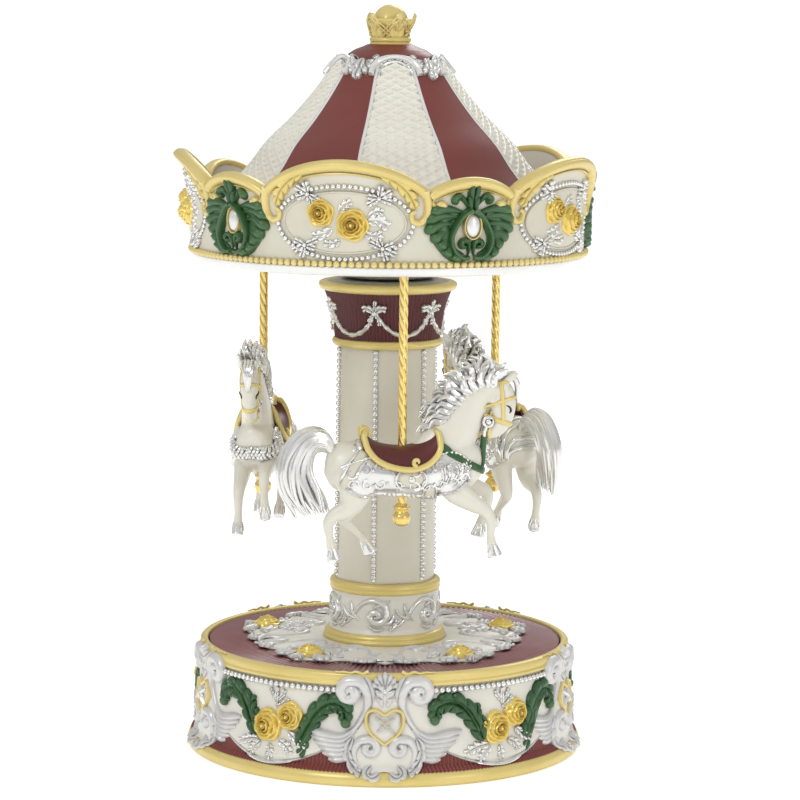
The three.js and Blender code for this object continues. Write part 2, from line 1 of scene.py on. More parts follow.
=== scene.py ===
"""Looks of the carousel music box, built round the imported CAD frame.

Shapes are worked out in millimetres and scaled to metres when a piece is made.
Angles run in degrees from the front (-Y) towards +X, so a place is (r sin a, -r cos a, z).
"""
import json
import math
import random

import bmesh
import bpy
import numpy as np
from mathutils import Matrix, Vector
from mathutils.bvhtree import BVHTree


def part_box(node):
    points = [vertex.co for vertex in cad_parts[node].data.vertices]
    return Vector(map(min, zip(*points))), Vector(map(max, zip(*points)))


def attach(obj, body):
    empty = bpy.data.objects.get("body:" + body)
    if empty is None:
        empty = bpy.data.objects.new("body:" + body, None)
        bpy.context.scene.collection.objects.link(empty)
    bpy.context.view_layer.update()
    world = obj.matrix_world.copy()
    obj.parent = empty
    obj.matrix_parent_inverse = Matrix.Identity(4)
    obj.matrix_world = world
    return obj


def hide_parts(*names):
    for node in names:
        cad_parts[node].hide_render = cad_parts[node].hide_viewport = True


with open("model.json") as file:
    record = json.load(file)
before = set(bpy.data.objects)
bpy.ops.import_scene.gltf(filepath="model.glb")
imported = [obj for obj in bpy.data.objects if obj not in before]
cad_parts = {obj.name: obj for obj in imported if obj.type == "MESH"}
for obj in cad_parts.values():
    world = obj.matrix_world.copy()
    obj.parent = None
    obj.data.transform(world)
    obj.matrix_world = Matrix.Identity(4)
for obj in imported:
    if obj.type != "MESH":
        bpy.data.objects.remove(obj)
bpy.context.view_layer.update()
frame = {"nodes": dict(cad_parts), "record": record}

MM = 0.001
TAU = 2 * math.pi
FOLD = 5  # the canopy, deck and base repeat five times round
SECTOR = 360 / FOLD


def low(node):
    """The lower corner of a node's box, in mm."""
    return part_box(node)[0] / MM


def high(node):
    """The upper corner of a node's box, in mm."""
    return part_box(node)[1] / MM


# ---------- driving dimensions, from the frame ----------
BASE_R = high("base_drum").x
BASE_TOP = high("base_drum").z
DECK_R = high("deck_plate").x
DECK_TOP = high("deck_plate").z
FOOT_R = high("column_foot").x
FOOT_TOP = high("column_foot").z
COLUMN_R = high("column_shell").x - 0.5
COLUMN_TOP = high("column_shell").z
LIP_R = high("column_capital").x
CAPITAL_TOP = high("column_capital").z
HUB_BOTTOM = low("canopy_hub").z
VALANCE_BOTTOM = low("valance_ring").z
LARGE_PEAK = high("valance_ring").z
SMALL_PEAK = LARGE_PEAK - 6
VALLEY = LARGE_PEAK - 12
VALANCE_R = high("canopy_floor").x + 3.2
VALANCE_THICK = 2.9
VALANCE_BEND = VALANCE_BOTTOM + 18
CROWN_TOP = high("crown_finial").z
LARGE_SPAN = 47  # degrees of the ring that a large scallop takes up
SMALL_SPAN = SECTOR - LARGE_SPAN
LARGE_MIDDLE = -13  # degrees of the middle of the first large scallop
SMALL_MIDDLE = LARGE_MIDDLE + SECTOR / 2
POLE_CIRCLE = 52
FIRST_POLE = 6  # degrees
POLE_BOTTOM = low("pole_1").z
POLE_TOP = high("pole_1").z
POLE_R = 1.65


# ---------- shape building ----------
SINK = 0.3  # how far leaves and domed plates go into the surface they lie on, in mm
STRAND_SINK = 0.25


class Shape:
    """Points in millimetres and faces of one piece."""

    def __init__(self):
        self.points = []
        self.faces = []
        self.count = 0

    def add(self, points, faces):
        points = np.asarray(points, float).reshape(-1, 3)
        self.points.append(points)
        self.faces += [tuple(i + self.count for i in face) for face in faces]
        self.count += len(points)

    def grid(self, rows, wrap_rows=False, wrap_columns=False, cap=False):
        """A sheet of quads over rows x columns of points; cap closes the first and last row."""
        rows = np.asarray(rows, float)
        n, m = rows.shape[:2]
        faces = []
        for i in range(n if wrap_rows else n - 1):
            for k in range(m if wrap_columns else m - 1):
                a, b = i * m + k, i * m + (k + 1) % m
                c, d = (i + 1) % n * m + (k + 1) % m, (i + 1) % n * m + k
                faces.append((a, b, c, d))
        if cap:
            faces.append(tuple(range(m))[::-1])
            faces.append(tuple(range((n - 1) * m, n * m)))
        self.add(rows.reshape(-1, 3), faces)

    def array(self):
        return np.concatenate(self.points)


def mesh_of(name, shape, material, crease=50):
    """A mesh in metres with its faces turned outwards and creased where it bends sharply."""
    mesh = bpy.data.meshes.new(name)
    mesh.from_pydata((shape.array() * MM).tolist(), [], shape.faces)
    mesh.materials.append(material)
    mesh.validate()
    work = bmesh.new()
    work.from_mesh(mesh)
    bmesh.ops.recalc_face_normals(work, faces=work.faces)
    work.to_mesh(mesh)
    work.free()
    mesh.polygons.foreach_set("use_smooth", [True] * len(mesh.polygons))
    mesh.set_sharp_from_angle(angle=math.radians(crease))
    mesh.update()
    return mesh


def piece(name, shape, body, material, replaces=(), crease=50):
    """Makes one object of a shape."""
    return placed(name, mesh_of(name, shape, material, crease), body, replaces)


def placed(name, mesh, body, replaces=(), matrix=None):
    """Makes one object of a mesh, tied to its body, and hides the frame's parts that it replaces."""
    thing = bpy.data.objects.new(name, mesh)
    bpy.context.scene.collection.objects.link(thing)
    if matrix is not None:
        thing.matrix_world = matrix
    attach(thing, body)
    if replaces:
        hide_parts(*replaces)
    return thing


def around(radius, degrees, z):
    """Points at a radius, an angle and a height; the arguments broadcast."""
    angle = np.radians(degrees)
    radius, angle, z = np.broadcast_arrays(radius, angle, z)
    return np.stack([radius * np.sin(angle), -radius * np.cos(angle), z], axis=-1)


def full_turn(steps, whole=TAU):
    """Even angles right round, in radians or, with 360 as the whole, in degrees."""
    return np.linspace(0, whole, steps, endpoint=False)


def smooth_curve(points, steps=24, closed=False):
    """A Catmull-Rom curve through the points, with a number of steps for the whole curve."""
    p = np.asarray(points, float)
    n = len(p)
    if closed:
        padded = np.concatenate([p[-1:], p, p[:2]])
        spans = n
    else:
        padded = np.concatenate([2 * p[:1] - p[1:2], p, 2 * p[-1:] - p[-2:-1]])
        spans = n - 1
    t = np.linspace(0, spans, steps + 1)
    if closed:
        t = t[:-1]
    i = np.minimum(t.astype(int), spans - 1)
    f = (t - i)[:, None]
    a, b, c, d = padded[i], padded[i + 1], padded[i + 2], padded[i + 3]
    return 0.5 * (2 * b + (c - a) * f + (2 * a - 5 * b + 4 * c - d) * f**2 + (3 * b - a - 3 * c + d) * f**3)


def spiral(centre, start_radius, end_radius, start_degrees, sweep_degrees, steps=28):
    """Points of a flat spiral in (u, v)."""
    t = np.linspace(0, 1, steps + 1)
    radius = start_radius * (end_radius / start_radius) ** t
    angle = np.radians(start_degrees + sweep_degrees * t)
    return np.stack([centre[0] + radius * np.cos(angle), centre[1] + radius * np.sin(angle)], axis=-1)


def unit(rows):
    """Each row of a table of vectors, brought to length one."""
    return rows / np.linalg.norm(rows, axis=1, keepdims=True)


def tangents(path, closed=False):
    """Unit directions along a path, or zero where two of its points are at one place."""
    gap = np.roll(path, -1, 0) - np.roll(path, 1, 0) if closed else np.gradient(path, axis=0)
    return gap / np.maximum(np.linalg.norm(gap, axis=1, keepdims=True), 1e-9)


def sideways(path, closed=False):
    """Unit directions across a flat path, to its left."""
    along = tangents(path, closed)
    return np.stack([-along[:, 1], along[:, 0]], axis=-1)


def taper(t):
    """Rises from a thin start to 1 and falls to a thinner end along 0..1."""
    ends = 0.25 * (1 - t) + 0.1 * t
    return ends + (1 - ends) * np.sin(np.pi * t) ** 0.6


def even(t):
    """The same all along."""
    return 1 + 0 * t


def grow(t):
    """Thin at the start, full at three quarters, rounded at the end."""
    return np.clip(0.25 + 1.0 * t, 0, 1) * np.sqrt(np.clip((1.02 - t) * 5, 0, 1))


def fade_out(t):
    """Thin eye, full scroll, then thinning to a point."""
    return np.clip(0.35 + 3.2 * t, 0, 1) * np.clip((1.04 - t) * 2.2, 0.1, 1)


def strand(shape, place, path, width, height, sides=8, shares=taper, closed=False):
    """A raised moulding along a (u, v) path on a surface; shares gives its size along 0..1."""
    path = np.asarray(path, float)
    share = shares(np.linspace(0, 1, len(path)))
    side = sideways(path, closed)
    turn = full_turn(sides)
    offset = np.cos(turn)[None, :] * (width * share)[:, None] / 2
    rise = np.where(np.sin(turn) > 0, np.sin(turn)[None, :] * (height * share)[:, None],
                    np.sin(turn) * STRAND_SINK)
    u = path[:, 0, None] + side[:, 0, None] * offset
    v = path[:, 1, None] + side[:, 1, None] * offset
    shape.grid(place(u, v, rise), wrap_rows=closed, wrap_columns=True, cap=not closed)


def scroll(centre, start_radius, end_radius, end_degrees, sweep_degrees, steps, band, band_steps):
    """A spiral out of its eye to an angle, which runs on into a band through more points."""
    eye = spiral(centre, start_radius, end_radius, end_degrees - sweep_degrees, sweep_degrees, steps)
    return np.concatenate([eye[:-1], smooth_curve(band, band_steps)])


def leaf(shape, place, path, width, height, lobes=5, across=14, cut=0.42, lean=0.6):
    """A carved acanthus leaf along a (u, v) path: round lobes sweep forward, with creases between them."""
    given = np.asarray(path, float)
    t = np.linspace(0, 1, 9 * lobes + 1)
    path = np.stack([np.interp(t, np.linspace(0, 1, len(given)), given[:, k]) for k in range(2)], -1)
    along, side = tangents(path), sideways(path)
    s = np.linspace(-1, 1, across + 1)
    swell = np.abs(np.sin(np.pi * lobes * t)) ** 0.55
    end = np.sqrt(np.clip(9 * (1.01 - t), 0, 1))
    envelope = width / 2 * (0.25 + 0.75 * np.sin(np.pi * (0.14 + 0.76 * t)) ** 0.8) * end
    half = envelope * (1 - cut + cut * swell)
    sweep_by = lean * half[:, None] * np.abs(s)[None, :] ** 1.4
    u = path[:, 0, None] + side[:, 0, None] * half[:, None] * s + along[:, 0, None] * sweep_by
    v = path[:, 1, None] + side[:, 1, None] * half[:, None] * s + along[:, 1, None] * sweep_by
    vein = 0.24 * np.exp(-((s / 0.14) ** 2))
    section = (1 - np.abs(s) ** 5) * (0.62 + 0.38 * np.abs(s)) - vein
    crease = 1 - 0.5 * (1 - swell[:, None]) * np.abs(s)[None, :] ** 0.6
    slope_down = np.sqrt(np.clip(7 * (1.03 - t), 0, 1))[:, None]
    rise = height * np.maximum(section[None, :] * crease * slope_down, 0.02)
    top = place(u, v, rise)
    bottom = place(u[:, ::-1], v[:, ::-1], np.full_like(u, -SINK))
    shape.grid(np.concatenate([top, bottom], axis=1), wrap_columns=True, cap=True)


def leaf_group(shape, place, paths, steps, width, height, **look):
    """A leaf along each of a few paths of points."""
    for path in paths:
        leaf(shape, place, smooth_curve(path, steps), width, height, **look)


# Rings of petals: how many, radius, height and turn, as shares of the rose.
ROSE_RINGS = ((5, 1.0, 0.35, 0.0), (5, 0.8, 0.62, 0.6), (4, 0.59, 0.82, 0.2), (3, 0.4, 0.96, 0.9),
              (2, 0.22, 1.06, 0.3))


def rose(shape, place, centre, radius, height, turn=0.0):
    """A rose of overlapping rolled petals, as a relief on a surface."""
    angle = full_turn(64)[None, :]
    share = np.linspace(1, 0.02, 30)[:, None]
    petals = ROSE_RINGS[0][0]
    r = share * (1 - 0.1 * (0.5 - 0.5 * np.cos(petals * (angle - turn))))
    rise = np.zeros(np.broadcast(r, angle).shape)
    for count, ring, top, shift in ROSE_RINGS:
        half = 1.28 * math.pi / count
        for k in range(count):
            middle = turn + shift + TAU * k / count
            gap = (angle - middle + math.pi) % TAU - math.pi
            edge = ring * (1 - 0.16 * (gap / half) ** 2) - 0.02 * k / count
            depth = (edge - r) / ring
            lip = np.where(depth < 0.1, 0.72 + 2.8 * depth, 1 - 1.15 * (depth - 0.1))
            inside = (depth >= 0) & (np.abs(gap) < half) & (depth < 0.62)
            rise = np.maximum(rise, np.where(inside, top * lip + 0.05 * gap / half, 0))
    rise = np.maximum(rise, 0.1 * (1 - r**2))
    rise[0] = -0.12
    u = centre[0] + radius * r * np.cos(angle)
    v = centre[1] + radius * r * np.sin(angle)
    shape.grid(place(u, v, rise * height), wrap_columns=True, cap=True)
    bead(shape, place(*centre, 0.78 * height), 0.15 * radius)


def fan(shape, place, centre, spreads, lengths, width, height):
    """Flutes that spread from a point, each at an angle from straight up, with a round end."""
    for spread, length in zip(spreads, lengths):
        run = np.linspace(0.3, length, 12)
        a = math.radians(spread)
        path = np.stack([centre[0] + run * math.sin(a), centre[1] + run * math.cos(a)], -1)
        strand(shape, place, path, width, height, shares=grow)


def ball_template(rings=6, sides=10):
    """Points and faces of a unit ball."""
    points = [(0, 0, 1)]
    for i in range(1, rings):
        for k in range(sides):
            a, b = math.pi * i / rings, TAU * k / sides
            points.append((math.sin(a) * math.cos(b), math.sin(a) * math.sin(b), math.cos(a)))
    points.append((0, 0, -1))
    last = len(points) - 1
    faces = [(0, 1 + k, 1 + (k + 1) % sides) for k in range(sides)]
    for i in range(rings - 2):
        for k in range(sides):
            a, b = 1 + i * sides + k, 1 + i * sides + (k + 1) % sides
            faces.append((a, a + sides, b + sides, b))
    faces += [(last, last - sides + (k + 1) % sides, last - sides + k) for k in range(sides)]
    return np.array(points), faces


BALL_POINTS, BALL_FACES = ball_template()


def bead(shape, centre, radius):
    """A small ball."""
    shape.add(np.asarray(centre) + BALL_POINTS * radius, BALL_FACES)


def tube(shape, path, radius, sides=10, closed=False):
    """A round tube along a path in space; radius may be a number or one for each point."""
    path = np.asarray(path, float)
    radius = np.broadcast_to(radius, len(path))
    along = tangents(path, closed)
    normal = np.cross(along[0], (0.31, 0.22, 0.93))
    rows = []
    turn = full_turn(sides)
    for p, d, r in zip(path, along, radius):
        normal = normal - d * np.dot(normal, d)
        normal /= np.linalg.norm(normal)
        other = np.cross(d, normal)
        rows.append(p + r * (np.cos(turn)[:, None] * normal + np.sin(turn)[:, None] * other))
    shape.grid(rows, wrap_rows=closed, wrap_columns=True, cap=not closed)


def sweep(shape, path, out, section, closed=False):
    """A [sideways, outwards] section carried along a path; out is the outward direction at each point."""
    path, out, section = np.asarray(path, float), np.asarray(out, float), np.asarray(section, float)
    along = tangents(path, closed)
    out = unit(out - along * np.sum(out * along, axis=1, keepdims=True))
    side = np.cross(along, out)
    rows = path[:, None] + side[:, None] * section[None, :, :1] + out[:, None] * section[None, :, 1:]
    shape.grid(rows, wrap_rows=closed, wrap_columns=True, cap=not closed)


def oval_section(width, height, sides=14, square=1.0):
    """A round or squarish closed section, width across and height outwards."""
    turn = full_turn(sides)
    c, s = np.cos(turn), np.sin(turn)
    return np.stack([width / 2 * np.sign(c) * np.abs(c) ** square,
                     height / 2 * np.sign(s) * np.abs(s) ** square], -1)


def limb(shape, stations, steps=24, sides=28, square=1.0):
    """A closed rounded body through stations of (x, y, z, half depth in its plane, half width along y)."""
    rows = smooth_curve(stations, steps)
    path, deep, wide = rows[:, :3], rows[:, 3], rows[:, 4]
    along = tangents(path)
    side = unit(np.array([0.0, 1.0, 0.0]) - along * along[:, 1, None])
    up = np.cross(along, side)
    turn = full_turn(sides)
    c = np.sign(np.cos(turn)) * np.abs(np.cos(turn)) ** square
    s = np.sign(np.sin(turn)) * np.abs(np.sin(turn)) ** square
    across = side[:, None] * (wide[:, None] * c)[..., None]
    over = up[:, None] * (deep[:, None] * s)[..., None]
    shape.grid(path[:, None] + across + over, wrap_columns=True, cap=True)


def boss(shape, place, outline, height, rings=7):
    """A domed plate that fills a closed (u, v) outline."""
    outline = np.asarray(outline, float)
    middle = outline.mean(axis=0)
    share = np.linspace(1, 0.03, rings + 1)
    scale = np.concatenate([[1.0], share])
    rise = np.concatenate([[-SINK], height * (0.25 + 0.75 * np.sqrt(1 - share**2))])
    u = middle[0] + scale[:, None] * (outline[:, 0] - middle[0])
    v = middle[1] + scale[:, None] * (outline[:, 1] - middle[1])
    shape.grid(place(u, v, rise[:, None] + 0 * u), wrap_columns=True, cap=True)


def oval(u, v, half_width, half_height, steps=48):
    """A closed oval outline in (u, v)."""
    turn = full_turn(steps)
    return np.stack([u + half_width * np.cos(turn), v + half_height * np.sin(turn)], -1)


def looped(shape, place, outline, width, height):
    """A raised moulding along a closed (u, v) outline."""
    strand(shape, place, outline, width, height, 10, even, closed=True)


def bead_row(shape, place, path, radius, pitch, lift=0.0):
    """Beads set at an even pitch along a (u, v) path on a surface."""
    path = np.asarray(path, float)
    run = np.concatenate([[0], np.cumsum(np.linalg.norm(np.diff(path, axis=0), axis=1))])
    count = max(2, round(run[-1] / pitch))
    at = (np.arange(count) + 0.5) / count * run[-1]
    for u, v in zip(np.interp(at, run, path[:, 0]), np.interp(at, run, path[:, 1])):
        bead(shape, place(u, v, lift), radius)


def lifted(points, height):
    """[r, z] points moved up by a height."""
    return [(r, height + z) for r, z in points]


def lathe(shape, profile, segments=160, ripple=None, closed=True):
    """Turns [radius, z] points about Z. ripple(r, degrees, z) gives an outward offset."""
    profile = np.asarray(profile, float)
    degrees = full_turn(segments, 360)
    radius = profile[:, 0, None] + np.zeros(segments)
    z = profile[:, 1, None] + np.zeros(segments)
    if ripple is not None:
        radius = radius + ripple(radius, degrees[None, :], z)
    shape.grid(around(radius, degrees, z), wrap_rows=closed, wrap_columns=True)


def rounded(points, radius=0.5, steps=4):
    """A closed [r, z] outline with its corners rounded off."""
    p = np.asarray(points, float)
    out = []
    for i in range(len(p)):
        before, here, after = p[i - 1], p[i], p[(i + 1) % len(p)]
        a, b = before - here, after - here
        cut = min(radius, 0.45 * np.linalg.norm(a), 0.45 * np.linalg.norm(b))
        start, end = here + a / np.linalg.norm(a) * cut, here + b / np.linalg.norm(b) * cut
        for t in np.linspace(0, 1, steps + 1):
            out.append((1 - t) ** 2 * start + 2 * t * (1 - t) * here + t**2 * end)
    return np.array(out)


def wall(middle, centre_z, radius_at):
    """Maps (u, v, n) to a place on an upright wall: u along it, v up, n outwards."""
    def place(u, v, n):
        z = centre_z + np.asarray(v, float)
        radius = radius_at(z)
        degrees = middle + np.degrees(np.asarray(u, float) / radius)
        return around(radius + n, degrees, z)
    return place


def top_face(middle, z):
    """Maps (u, v, n) to a place on a level face: v out from the axis, u across, n up."""
    turn = math.radians(middle)
    def place(u, v, n):
        u, v, n = np.broadcast_arrays(u, v, n)
        x, y = u * math.cos(turn) + v * math.sin(turn), u * math.sin(turn) - v * math.cos(turn)
        return np.stack([x, y, z + n], -1)
    return place


# ---------- materials ----------
def srgb(red, green, blue):
    """A linear colour from screen values of 0 to 255."""
    out = []
    for value in (red, green, blue):
        c = value / 255
        out.append(c / 12.92 if c < 0.04045 else ((c + 0.055) / 1.055) ** 2.4)
    return (*out, 1)


def add_node(tree, kind, settings=(), **inputs):
    """A shader node with its inputs set, or linked where the value is an output of another node."""
    node = tree.nodes.new("ShaderNode" + kind)
    for name, value in dict(settings).items():
        setattr(node, name, value)
    for name, value in inputs.items():
        socket = node.inputs[name.replace("_", " ")]
        if isinstance(value, bpy.types.NodeSocket):
            tree.links.new(value, socket)
        else:
            socket.default_value = value
    return node


def ranged(tree, value, from_min, from_max, to_min, to_max):
    """The value carried from one range of numbers to another."""
    node = add_node(tree, "MapRange", Value=value, From_Min=from_min, From_Max=from_max, To_Min=to_min,
                    To_Max=to_max)
    return node.outputs["Result"]


def blended(tree, factor, a, b):
    """One colour blended into another."""
    return add_node(tree, "Mix", {"data_type": "RGBA"}, Factor=factor, A=a, B=b).outputs["Result"]


def finish_of(name, colour, shade, roughness, metallic=0.0, grain=900.0, bump=0.04, hollow_shade=0.35, coat=0.0,
              worn_edge_highlight=None):
    """A painted finish: patchy colour, painted shade that darkens the hollows, painted highlight that
    lightens the raised edges and also stands for worn paint, fine surface grain.
    """
    colour, shade = srgb(*colour), srgb(*shade)
    material = bpy.data.materials.new(name)
    material.use_nodes = True
    tree = material.node_tree
    shader = tree.nodes["Principled BSDF"]
    shader.inputs["Metallic"].default_value = metallic
    shader.inputs["Coat Weight"].default_value = coat
    shader.inputs["Coat Roughness"].default_value = 0.25
    place = add_node(tree, "TexCoord").outputs["Object"]
    patches = add_node(tree, "TexNoise", Vector=place, Scale=60, Detail=5).outputs["Fac"]
    paint = blended(tree, ranged(tree, patches, 0.35, 0.75, 0, 0.55), colour, shade)
    # Painted shade: where ambient occlusion finds a hollow, the paint is darkened towards a dark colour, as
    # shade falls there; the darkening strength given to finish_of sets how much.
    hollow = add_node(tree, "AmbientOcclusion", {"samples": 6}, Distance=1.6 * MM).outputs["AO"]
    hollow_shade_colour = tuple(0.3 * c for c in shade[:3]) + (1,)
    paint = blended(tree, ranged(tree, hollow, 0.25, 0.85, hollow_shade, 0), paint, hollow_shade_colour)
    if worn_edge_highlight is not None:
        # Painted highlight: raised edges, found by pointiness, are lightened towards the edge colour, as
        # light catches them there; it also stands for paint worn off the edges.
        edge = add_node(tree, "NewGeometry").outputs["Pointiness"]
        paint = blended(tree, ranged(tree, edge, 0.54, 0.64, 0, 0.5), paint, srgb(*worn_edge_highlight))
    rough = ranged(tree, patches, 0, 1, roughness * 0.8, min(1.0, roughness * 1.25))
    fine = add_node(tree, "TexNoise", Vector=place, Scale=grain, Detail=3).outputs["Fac"]
    relief = add_node(tree, "Bump", Strength=0.6, Distance=bump * MM, Height=fine).outputs["Normal"]
    for socket, value in (("Base Color", paint), ("Roughness", rough), ("Normal", relief)):
        tree.links.new(value, shader.inputs[socket])
    return material


# In these finishes the darkening strength is painted shade in the hollows, and the edge colour is a painted
# highlight on raised edges that also stands for worn paint.
CREAM = finish_of("cream", (217, 213, 196), (207, 201, 182), 0.42, hollow_shade=0.45, coat=0.15)
WHITE = finish_of("white", (230, 227, 217), (220, 216, 204), 0.36, hollow_shade=0.5, coat=0.2)
HORSE_WHITE = finish_of("horse_white", (228, 225, 211), (216, 212, 196), 0.32, hollow_shade=0.5, coat=0.3)
MAROON = finish_of("maroon", (124, 52, 43), (112, 44, 37), 0.42, hollow_shade=0.5, coat=0.15)
DECK_MAROON = finish_of("deck_maroon", (138, 84, 86), (122, 70, 73), 0.34, hollow_shade=0.5, coat=0.6)
# A darker copy of maroon: on the capital it paints the shade under the canopy into the colour, as painted
# shade; the saddle seats are made of it too.
DARK_MAROON = finish_of("dark_maroon", (88, 25, 23), (74, 19, 19), 0.42, hollow_shade=0.5, coat=0.1)
PALE_GOLD = finish_of("pale_gold", (228, 208, 134), (213, 189, 105), 0.34, 0.25, hollow_shade=0.4,
                      worn_edge_highlight=(244, 232, 184))
ROSE_GOLD = finish_of("rose_gold", (244, 218, 122), (228, 194, 84), 0.28, 0.4, hollow_shade=0.35,
                      worn_edge_highlight=(254, 242, 188))
GILT = finish_of("gilt", (242, 216, 136), (228, 192, 100), 0.24, 0.8, hollow_shade=0.4)
SILVER = finish_of("silver", (236, 235, 231), (204, 204, 202), 0.2, 0.7, hollow_shade=0.55,
                   worn_edge_highlight=(252, 252, 252))
FROSTED = finish_of("frosted_silver", (218, 217, 214), (190, 190, 190), 0.32, 0.3, hollow_shade=0.6,
                    worn_edge_highlight=(248, 248, 248))
PEARL = finish_of("pearl_white", (238, 238, 235), (222, 222, 218), 0.22, 0.25, hollow_shade=0.5, coat=0.3)
LATTICE = finish_of("lattice_cream", (246, 243, 232), (238, 234, 219), 0.42, hollow_shade=0.7, coat=0.1,
                    worn_edge_highlight=(246, 243, 234))
GREY = finish_of("grey_disc", (172, 172, 160), (150, 150, 138), 0.4, 0.3)
GREEN = finish_of("green", (44, 90, 44), (26, 66, 30), 0.34, hollow_shade=0.6, coat=0.25,
                  worn_edge_highlight=(104, 140, 92))
BLACK = finish_of("black", (18, 18, 20), (10, 10, 12), 0.3)
BRASS = finish_of("brass", (214, 178, 104), (190, 150, 80), 0.3, 1.0, grain=2000)
STEEL = finish_of("steel", (196, 198, 202), (168, 170, 176), 0.28, 1.0, grain=2000)
BOARD = finish_of("board", (52, 46, 42), (38, 34, 31), 0.9, grain=3000, bump=0.2)

SLOT_FINISH = {"cream_resin": CREAM, "white_resin": WHITE, "maroon_resin": MAROON, "gold_paint": PALE_GOLD,
               "gold_metal": GILT, "silver_paint": SILVER, "green_paint": GREEN, "brass": BRASS,
               "steel": STEEL, "cover_board": BOARD, "black_paint": BLACK}
for row in frame["record"]["subparts"]:
    node = frame["nodes"][row["node"]]
    node.data.materials.clear()
    node.data.materials.append(SLOT_FINISH[row["material_slot"]])

# ---------- base ----------
GOLD_RIM_TOP = 5.4
BAND_BOTTOM = 36.2
CARTOUCHE = [SECTOR * k for k in range(FOLD)]  # degrees of the heart cartouches
PANEL = [SECTOR / 2 + middle for middle in CARTOUCHE]  # degrees of the rose panels between them


def base_radius(z):
    """Outer radius of the base wall at a height."""
    return np.interp(z, [0, 3.6, GOLD_RIM_TOP, 7, 32.5, 33.4, BASE_TOP],
                     [BASE_R, BASE_R, 73, 71, 69.4, 69.9, 69.9])


def base_place(middle):
    """The base's wall round the middle of a cartouche or panel."""
    return wall(middle, 0, base_radius)


def both_sides(place):
    """The place itself and its mirror image."""
    return [place, lambda u, v, n: place(-np.asarray(u), v, n)]


def base_shell():
    """The drum with its two gold rims and the row of beads."""
    body = Shape()
    lathe(body, rounded([(73.2, 1), (73.2, 5), (71, 7), (69.4, 32.5), (69.5, 37), (67.4, 37), (12, 37),
                         (12, 33), (63, 33), (63, 15.3), (68.3, 15.3), (68.3, 1)], 0.6), 240)
    piece("base_shell", body, "base", WHITE, ["base_drum"])
    rim = Shape()
    lathe(rim, rounded([(BASE_R, 0), (BASE_R, 3.4), (73.6, 5.2), (71.2, GOLD_RIM_TOP + 0.4), (69, 5),
                        (68.4, 0)], 1.4), 240)
    piece("base_gold_rim", rim, "base", PALE_GOLD)
    band = Shape()
    lathe(band, rounded([(69.2, BAND_BOTTOM), (70.5, BAND_BOTTOM), (70.6, 37.4), (70.1, 37.9), (70.5, 38.5),
                         (70.3, BASE_TOP - 0.6), (69.4, BASE_TOP), (67.6, BASE_TOP), (67.3, 40),
                         (67.4, BAND_BOTTOM)], 0.5), 240)
    piece("base_gold_band", band, "base", PALE_GOLD)
    beads = Shape()
    count = 190
    for k in range(count):
        bead(beads, around(base_radius(34.6) + 0.45, 360 * k / count, 34.6), 1.12)
    piece("base_bead_row", beads, "base", SILVER)


def swag_edge(u):
    """Height of the lower edge of a panel's cream swag."""
    return GOLD_RIM_TOP + 0.5 + 8.6 * (np.abs(u) / 26) ** 2


def base_panels():
    """Maroon pleats between the cartouches, with a pale swag above them."""
    pleats, swags, edges = Shape(), Shape(), Shape()
    for middle in PANEL:
        place = base_place(middle)
        u = np.linspace(-37, 37, 420)[None, :]
        t = np.linspace(0, 1, 24)[:, None]
        top = np.minimum(swag_edge(u) + 1.2, 17)
        v = GOLD_RIM_TOP - 0.3 + (top - GOLD_RIM_TOP + 0.3) * t
        rib = 0.42 + 0.26 * np.cos(TAU * u / 1.5)
        fade = np.clip((1 - t) * 14, 0, 1)
        pleats.grid(place(u + 0 * t, v, rib * fade - 0.1 * (1 - fade)))
        u = np.linspace(-27, 27, 90)[None, :]
        low_edge = swag_edge(u)
        v = low_edge + (19 - low_edge) * t
        plump = 1.7 * np.sqrt(np.clip(t * 6, 0, 1)) * (1 - t) ** 1.2 * np.clip((27 - np.abs(u)) / 5, 0, 1)
        swags.grid(place(u + 0 * t, v, plump - 0.15))
        path = np.stack([u[0], swag_edge(u[0])], -1)
        strand(edges, place, path, 1.3, 1.7)
    piece("base_pleats", pleats, "base", MAROON)
    piece("base_swags", swags, "base", WHITE)
    piece("base_swag_edges", edges, "base", SILVER)


